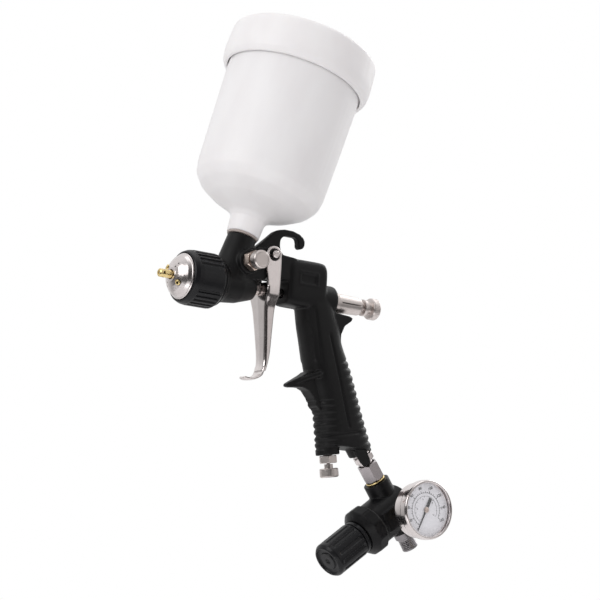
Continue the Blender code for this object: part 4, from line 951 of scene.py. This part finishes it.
# ================================================================ gauge
g_stem = lathe("gauge_stem_turning", [
    (9.0, 1.0), (9.0, 3.3), (17.5, 3.3), (17.5, 4.7), (18.1, 5.4), (21.9, 5.4), (22.5, 4.7), (22.5, 3.3), (29.2, 3.3), (29.2, 1.0)],
    GAUGE_P, Y_NEG, 96, 0.12, wave=hexagon(4.7), step=0.4, sharp=28.0)
cast(g_stem, "bare_brass", "gauge_stem")
case = lathe("case_spinning", [
    (27.4, 3.7), (27.4, 17.4, 1.6), (28.6, 19.2, 1.6), (30.4, 20.0, 2.0), (39.8, 20.1, 0.2), (39.8, 18.8), (29.8, 18.8), (28.8, 17.8),
    (28.8, 3.7)], GAUGE_P, Y_NEG, 160, 0.2)
cast(case, "chrome_plate", "gauge_case")
bezel = lathe("bezel_spinning", [
    (38.1, 20.4), (38.1, 21.2, 0.3), (39.1, 21.6, 0.5), (43.4, 21.5, 1.2), (44.8, 21.0, 0.9), (45.15, 20.3, 0.5), (44.8, 19.5, 0.5),
    (43.95, 19.2, 0.2), (43.8, 20.4)], GAUGE_P, Y_NEG, 160, 0.2)
cast(bezel, "chrome_plate", "gauge_bezel")
lens = lathe("lens_moulding", [(42.4, 0.0), (42.4, 20.0, 0.2), (43.5, 20.0, 0.2), (43.5, 0.0)], GAUGE_P, Y_NEG, 128, 0.2)
cast(lens, "clear_lens", "gauge_lens")
dial = lathe("dial_plate", [(40.1, 1.6), (40.1, 19.9, 0.15), (40.7, 19.9, 0.15), (40.7, 1.6)], GAUGE_P, Y_NEG, 128, 0.1)
cast(dial, "dial_face", "gauge_dial")

DIAL_Y0, DIAL_Y1 = -40.66, -40.8
ZERO, SWEEP, STEPS = math.radians(-112.0), math.radians(270.0), 8


def flat_print(name, outlines):
    """Raised print: each closed outline of (x, z) about the dial's centre is one thin plate."""
    bm = bmesh.new()
    for pts in outlines:
        low = [bm.verts.new((x, DIAL_Y0, z)) for x, z in pts]
        top = [bm.verts.new((x, DIAL_Y1, z)) for x, z in pts]
        bm.faces.new(low)
        bm.faces.new(list(reversed(top)))
        for i in range(len(pts)):
            j = (i + 1) % len(pts)
            bm.faces.new((low[j], low[i], top[i], top[j]))
    return to_object(name, bm, GAUGE_P)


def tick(angle, r0, r1, half):
    c, s = math.cos(angle), math.sin(angle)
    return [(r * c - h * s, r * s + h * c) for r, h in ((r0, -half), (r1, -half), (r1, half), (r0, half))]


def arc(r0, r1, a0, a1, n=96):
    inner = [(r0 * math.cos(a0 + (a1 - a0) * i / n), r0 * math.sin(a0 + (a1 - a0) * i / n)) for i in range(n + 1)]
    outer = [(r1 * math.cos(a0 + (a1 - a0) * i / n), r1 * math.sin(a0 + (a1 - a0) * i / n)) for i in range(n + 1)]
    return inner + list(reversed(outer))


marks = [arc(12.15, 12.4, ZERO, ZERO - SWEEP)]
for i in range(STEPS * 4 + 1):
    a = ZERO - SWEEP * i / (STEPS * 4)
    major, mid = i % 4 == 0, i % 4 == 2
    marks.append(tick(a, 12.35, 13.9 if major else (13.4 if mid else 13.0), 0.20 if major else 0.12))
marks.append(arc(9.9, 10.05, ZERO, ZERO - SWEEP, 72))
for i in range(12):
    a = ZERO - SWEEP * i / 11
    marks.append(tick(a, 9.0, 9.95, 0.11))
scale_print = flat_print("dial_scale", marks)
cast(scale_print, "pointer_black", body="gun", hides=False)

for i in range(STEPS + 1):
    a = ZERO - SWEEP * i / STEPS
    for inner in (False, True):
        if inner and i % 2:
            continue
        text = bpy.data.curves.new("digits", "FONT")
        text.body = str(i * 20 if not inner else i * 140 // 100)
        text.size = (2.8 if not inner else 1.7) * MM
        text.offset = (0.05 if not inner else 0.02) * MM
        text.align_x, text.align_y = "CENTER", "CENTER"
        text.extrude = 0.05 * MM
        text.resolution_u = 3
        temp = bpy.data.objects.new("digits_temp", text)
        bpy.context.scene.collection.objects.link(temp)
        bpy.context.view_layer.update()
        me = bpy.data.meshes.new_from_object(temp.evaluated_get(bpy.context.evaluated_depsgraph_get()))
        bpy.data.objects.remove(temp, do_unlink=True)
        r = 15.9 if not inner else 7.8
        spot = GAUGE_P + Vector((r * math.cos(a), -40.73, r * math.sin(a)))
        turn = Matrix.Rotation(math.radians(-23.0), 4, "Y") @ Matrix.Rotation(math.radians(90.0), 4, "X")
        me.transform(Matrix.Translation((spot - HANG) * MM) @ turn)
        digits = bpy.data.objects.new("dial_%s_%d" % ("inner" if inner else "outer", i), me)
        bpy.context.scene.collection.objects.link(digits)
        cast(digits, "pointer_black", body="gun", hides=False)


def pointer_shape():
    ca, sa = math.cos(ZERO), math.sin(ZERO)
    blade = [(16.0, 0.12), (2.4, 0.55), (0.0, 1.9), (-2.4, 1.0), (-3.0, 1.15), (-9.0, 1.15), (-9.15, 0.9), (-9.15, -0.9),
             (-9.0, -1.15), (-3.0, -1.15), (-2.4, -1.0), (0.0, -1.9), (2.4, -0.55), (16.0, -0.12)]
    bm = bmesh.new()
    low = [bm.verts.new((x * ca - z * sa, -41.05, x * sa + z * ca)) for x, z in blade]
    top = [bm.verts.new((x * ca - z * sa, -41.55, x * sa + z * ca)) for x, z in blade]
    bm.faces.new(low)
    bm.faces.new(list(reversed(top)))
    for i in range(len(blade)):
        j = (i + 1) % len(blade)
        bm.faces.new((low[j], low[i], top[i], top[j]))
    return to_object("pointer_blade", bm, GAUGE_P)


cast(pointer_shape(), "pointer_black", "gauge_pointer")
hub = lathe("pointer_hub", [(41.6, 0.0), (41.6, 2.1, 0.1), (41.85, 2.1, 0.2), (42.1, 1.4, 0.2), (42.12, 0.0)], GAUGE_P, Y_NEG, 64, 0.2)
cast(hub, "hub_copper", "gauge_pointer")

# ================================================================ springs that the trigger works
def coil(name, t0, t1, mean_r, wire_r, turns, direction, sides=10, per_turn=32):
    """Open coil of round wire, as long at rest as its CAD node."""
    bm = bmesh.new()
    count = int(turns * per_turn) + 1
    loops = []
    for k in range(count):
        u = k / (count - 1)
        a = 2.0 * math.pi * turns * u
        radial = Vector((math.cos(a), math.sin(a), 0.0))
        middle = radial * mean_r + Vector((0.0, 0.0, t0 + wire_r + (t1 - t0 - 2.0 * wire_r) * u))
        loops.append([bm.verts.new(middle + radial * wire_r * math.cos(b) + Vector((0.0, 0.0, wire_r * math.sin(b))))
                      for b in (2.0 * math.pi * i / sides for i in range(sides))])
    for a, b in zip(loops[:-1], loops[1:]):
        for i in range(sides):
            j = (i + 1) % sides
            bm.faces.new((a[i], a[j], b[j], b[i]))
    bm.faces.new(list(reversed(loops[0])))
    bm.faces.new(loops[-1])
    return to_object(name, bm, O_P, axis_matrix(direction))


for tag, node, joint, t0, t1, mean_r, wire_r, turns, travel in (
        ("air_spring_coil", "air_valve_spring", "air_valve_slide", 102.4, 118.9, 4.9, 0.5, 5.0, 7.2),
        ("needle_spring_coil", "needle_spring", "needle_slide", 131.4, 150.0, 2.85, 0.45, 6.0, 5.5)):
    wound = cast(straighten(coil(tag, t0, t1, mean_r, wire_r, turns, X_DIR)), "steel", node, body="gun")
    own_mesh(wound)

# ================================================================ pieces whose CAD shape stays
KEEP = {
    "lid_gasket": "seal_white", "cup_strainer": "white_nylon", "air_baffle": "bare_brass", "nozzle_gasket": "seal_white",
    "fluid_needle": "steel", "needle_packing": "seal_white", "fan_valve_stem": "steel", "air_valve_seat": "seal_white",
    "needle_stop_nut": "nickel_plate", "air_flow_stem": "steel",
    "regulator_tailpiece": "nickel_plate", "regulator_poppet": "bare_brass", "regulator_diaphragm": "seal_rubber",
    "diaphragm_plate": "steel", "regulator_spring": "steel", "regulator_screw": "steel", "gauge_spindle": "bare_brass",
    "bourdon_tube": "bare_brass", "gauge_movement": "bare_brass"}
for name, key in KEEP.items():
    ob = nodes[name]
    for k in range(len(ob.material_slots)):
        ob.material_slots[k].material = M[key]

# ================================================================ stage, camera, light
scene = bpy.context.scene
floor_bm = bmesh.new()
bmesh.ops.create_circle(floor_bm, cap_ends=True, segments=96, radius=1.3)
floor_me = bpy.data.meshes.new("floor")
floor_bm.to_mesh(floor_me)
floor_bm.free()
floor = bpy.data.objects.new("floor", floor_me)
scene.collection.objects.link(floor)
floor.location = (0.0, 0.0, -0.72)
fm = Nodes("pale_floor")
fm.link(fm.mix(fm.noise(900.0), (0.90, 0.90, 0.90), (0.87, 0.87, 0.87)), fm.bsdf.inputs["Base Color"])
fm.set(Roughness=0.75)
floor_me.materials.append(fm.mat)

back = Vector((-0.5634, -0.8112, -0.1564)).normalized()
right = Vector((0.8139, -0.5775, 0.0633))
right = (right - back * right.dot(back)).normalized()
up = back.cross(right)
cam_data = bpy.data.cameras.new("camera")
cam = bpy.data.objects.new("camera", cam_data)
scene.collection.objects.link(cam)
m4 = Matrix((right, up, back)).transposed().to_4x4()
m4.translation = Vector((-1.1072, -1.6150, -0.3553))
cam.matrix_world = m4
cam_data.sensor_width, cam_data.lens, cam_data.clip_start, cam_data.clip_end = 36.0, 166.147, 0.01, 100.0
scene.camera = cam

centre = Vector((0.01, 0.0, -0.04))


def softbox(name, offset, size, power, colour=(1.0, 1.0, 1.0), height=None):
    data = bpy.data.lights.new(name, "AREA")
    data.shape, data.size, data.size_y = "RECTANGLE", size, height or size
    data.energy, data.color = power, colour
    ob = bpy.data.objects.new(name, data)
    scene.collection.objects.link(ob)
    ob.location = centre + offset
    ob.rotation_euler = (-offset).to_track_quat("-Z", "Y").to_euler()
    return ob


softbox("key", back * 1.0 - right * 1.05 + up * 0.85, 1.1, 9.5)
softbox("fill", back * 1.1 + right * 1.9 + up * 0.35, 1.3, 3.3, (1.0, 0.965, 0.955), 1.6)
softbox("top", Vector((0.1, 0.0, 1.4)), 1.1, 3.0)
softbox("rim", -back * 1.1 + right * 0.9 + up * 0.6, 0.8, 6.0)
softbox("low", back * 0.6 - right * 0.2 - up * 0.62, 0.5, 1.2)

world = bpy.data.worlds.new("studio")
scene.world = world
world.use_nodes = True
wt = world.node_tree
wt.nodes.clear()
out = wt.nodes.new("ShaderNodeOutputWorld")
mixw = wt.nodes.new("ShaderNodeMixShader")
path = wt.nodes.new("ShaderNodeLightPath")
seen = wt.nodes.new("ShaderNodeBackground")
lit = wt.nodes.new("ShaderNodeBackground")
seen.inputs["Color"].default_value = (1.0, 1.0, 1.0, 1.0)
seen.inputs["Strength"].default_value = 1.0
tex = wt.nodes.new("ShaderNodeTexCoord")
side = wt.nodes.new("ShaderNodeVectorMath")
side.operation = "DOT_PRODUCT"
side.inputs[1].default_value = tuple((Vector((0.0, 0.0, 0.62)) - back * 0.78).normalized())
ramp = wt.nodes.new("ShaderNodeValToRGB")
stops = ramp.color_ramp.elements
stops[0].position, stops[0].color = 0.10, (0.042, 0.040, 0.040, 1.0)
stops[1].position, stops[1].color = 0.80, (0.92, 0.92, 0.92, 1.0)
for where, v in ((0.38, 0.105), (0.52, 0.40)):
    stop = stops.new(where)
    stop.color = (v, v * 0.985, v * 0.98, 1.0)
rng = wt.nodes.new("ShaderNodeMapRange")
rng.inputs["From Min"].default_value, rng.inputs["From Max"].default_value = -1.0, 1.0
wt.links.new(tex.outputs["Generated"], side.inputs[0])
wt.links.new(side.outputs["Value"], rng.inputs["Value"])
wt.links.new(rng.outputs["Result"], ramp.inputs["Fac"])
wt.links.new(ramp.outputs["Color"], lit.inputs["Color"])
lit.inputs["Strength"].default_value = 0.92
even = wt.nodes.new("ShaderNodeBackground")
even.inputs["Color"].default_value = (0.98, 0.96, 0.97, 1.0)
even.inputs["Strength"].default_value = 0.63
soft = wt.nodes.new("ShaderNodeMixShader")
wt.links.new(path.outputs["Is Diffuse Ray"], soft.inputs["Fac"])
wt.links.new(lit.outputs["Background"], soft.inputs[1])
wt.links.new(even.outputs["Background"], soft.inputs[2])
wt.links.new(path.outputs["Is Camera Ray"], mixw.inputs["Fac"])
wt.links.new(soft.outputs["Shader"], mixw.inputs[1])
wt.links.new(seen.outputs["Background"], mixw.inputs[2])
wt.links.new(mixw.outputs["Shader"], out.inputs["Surface"])
scene.view_settings.view_transform = "Standard"
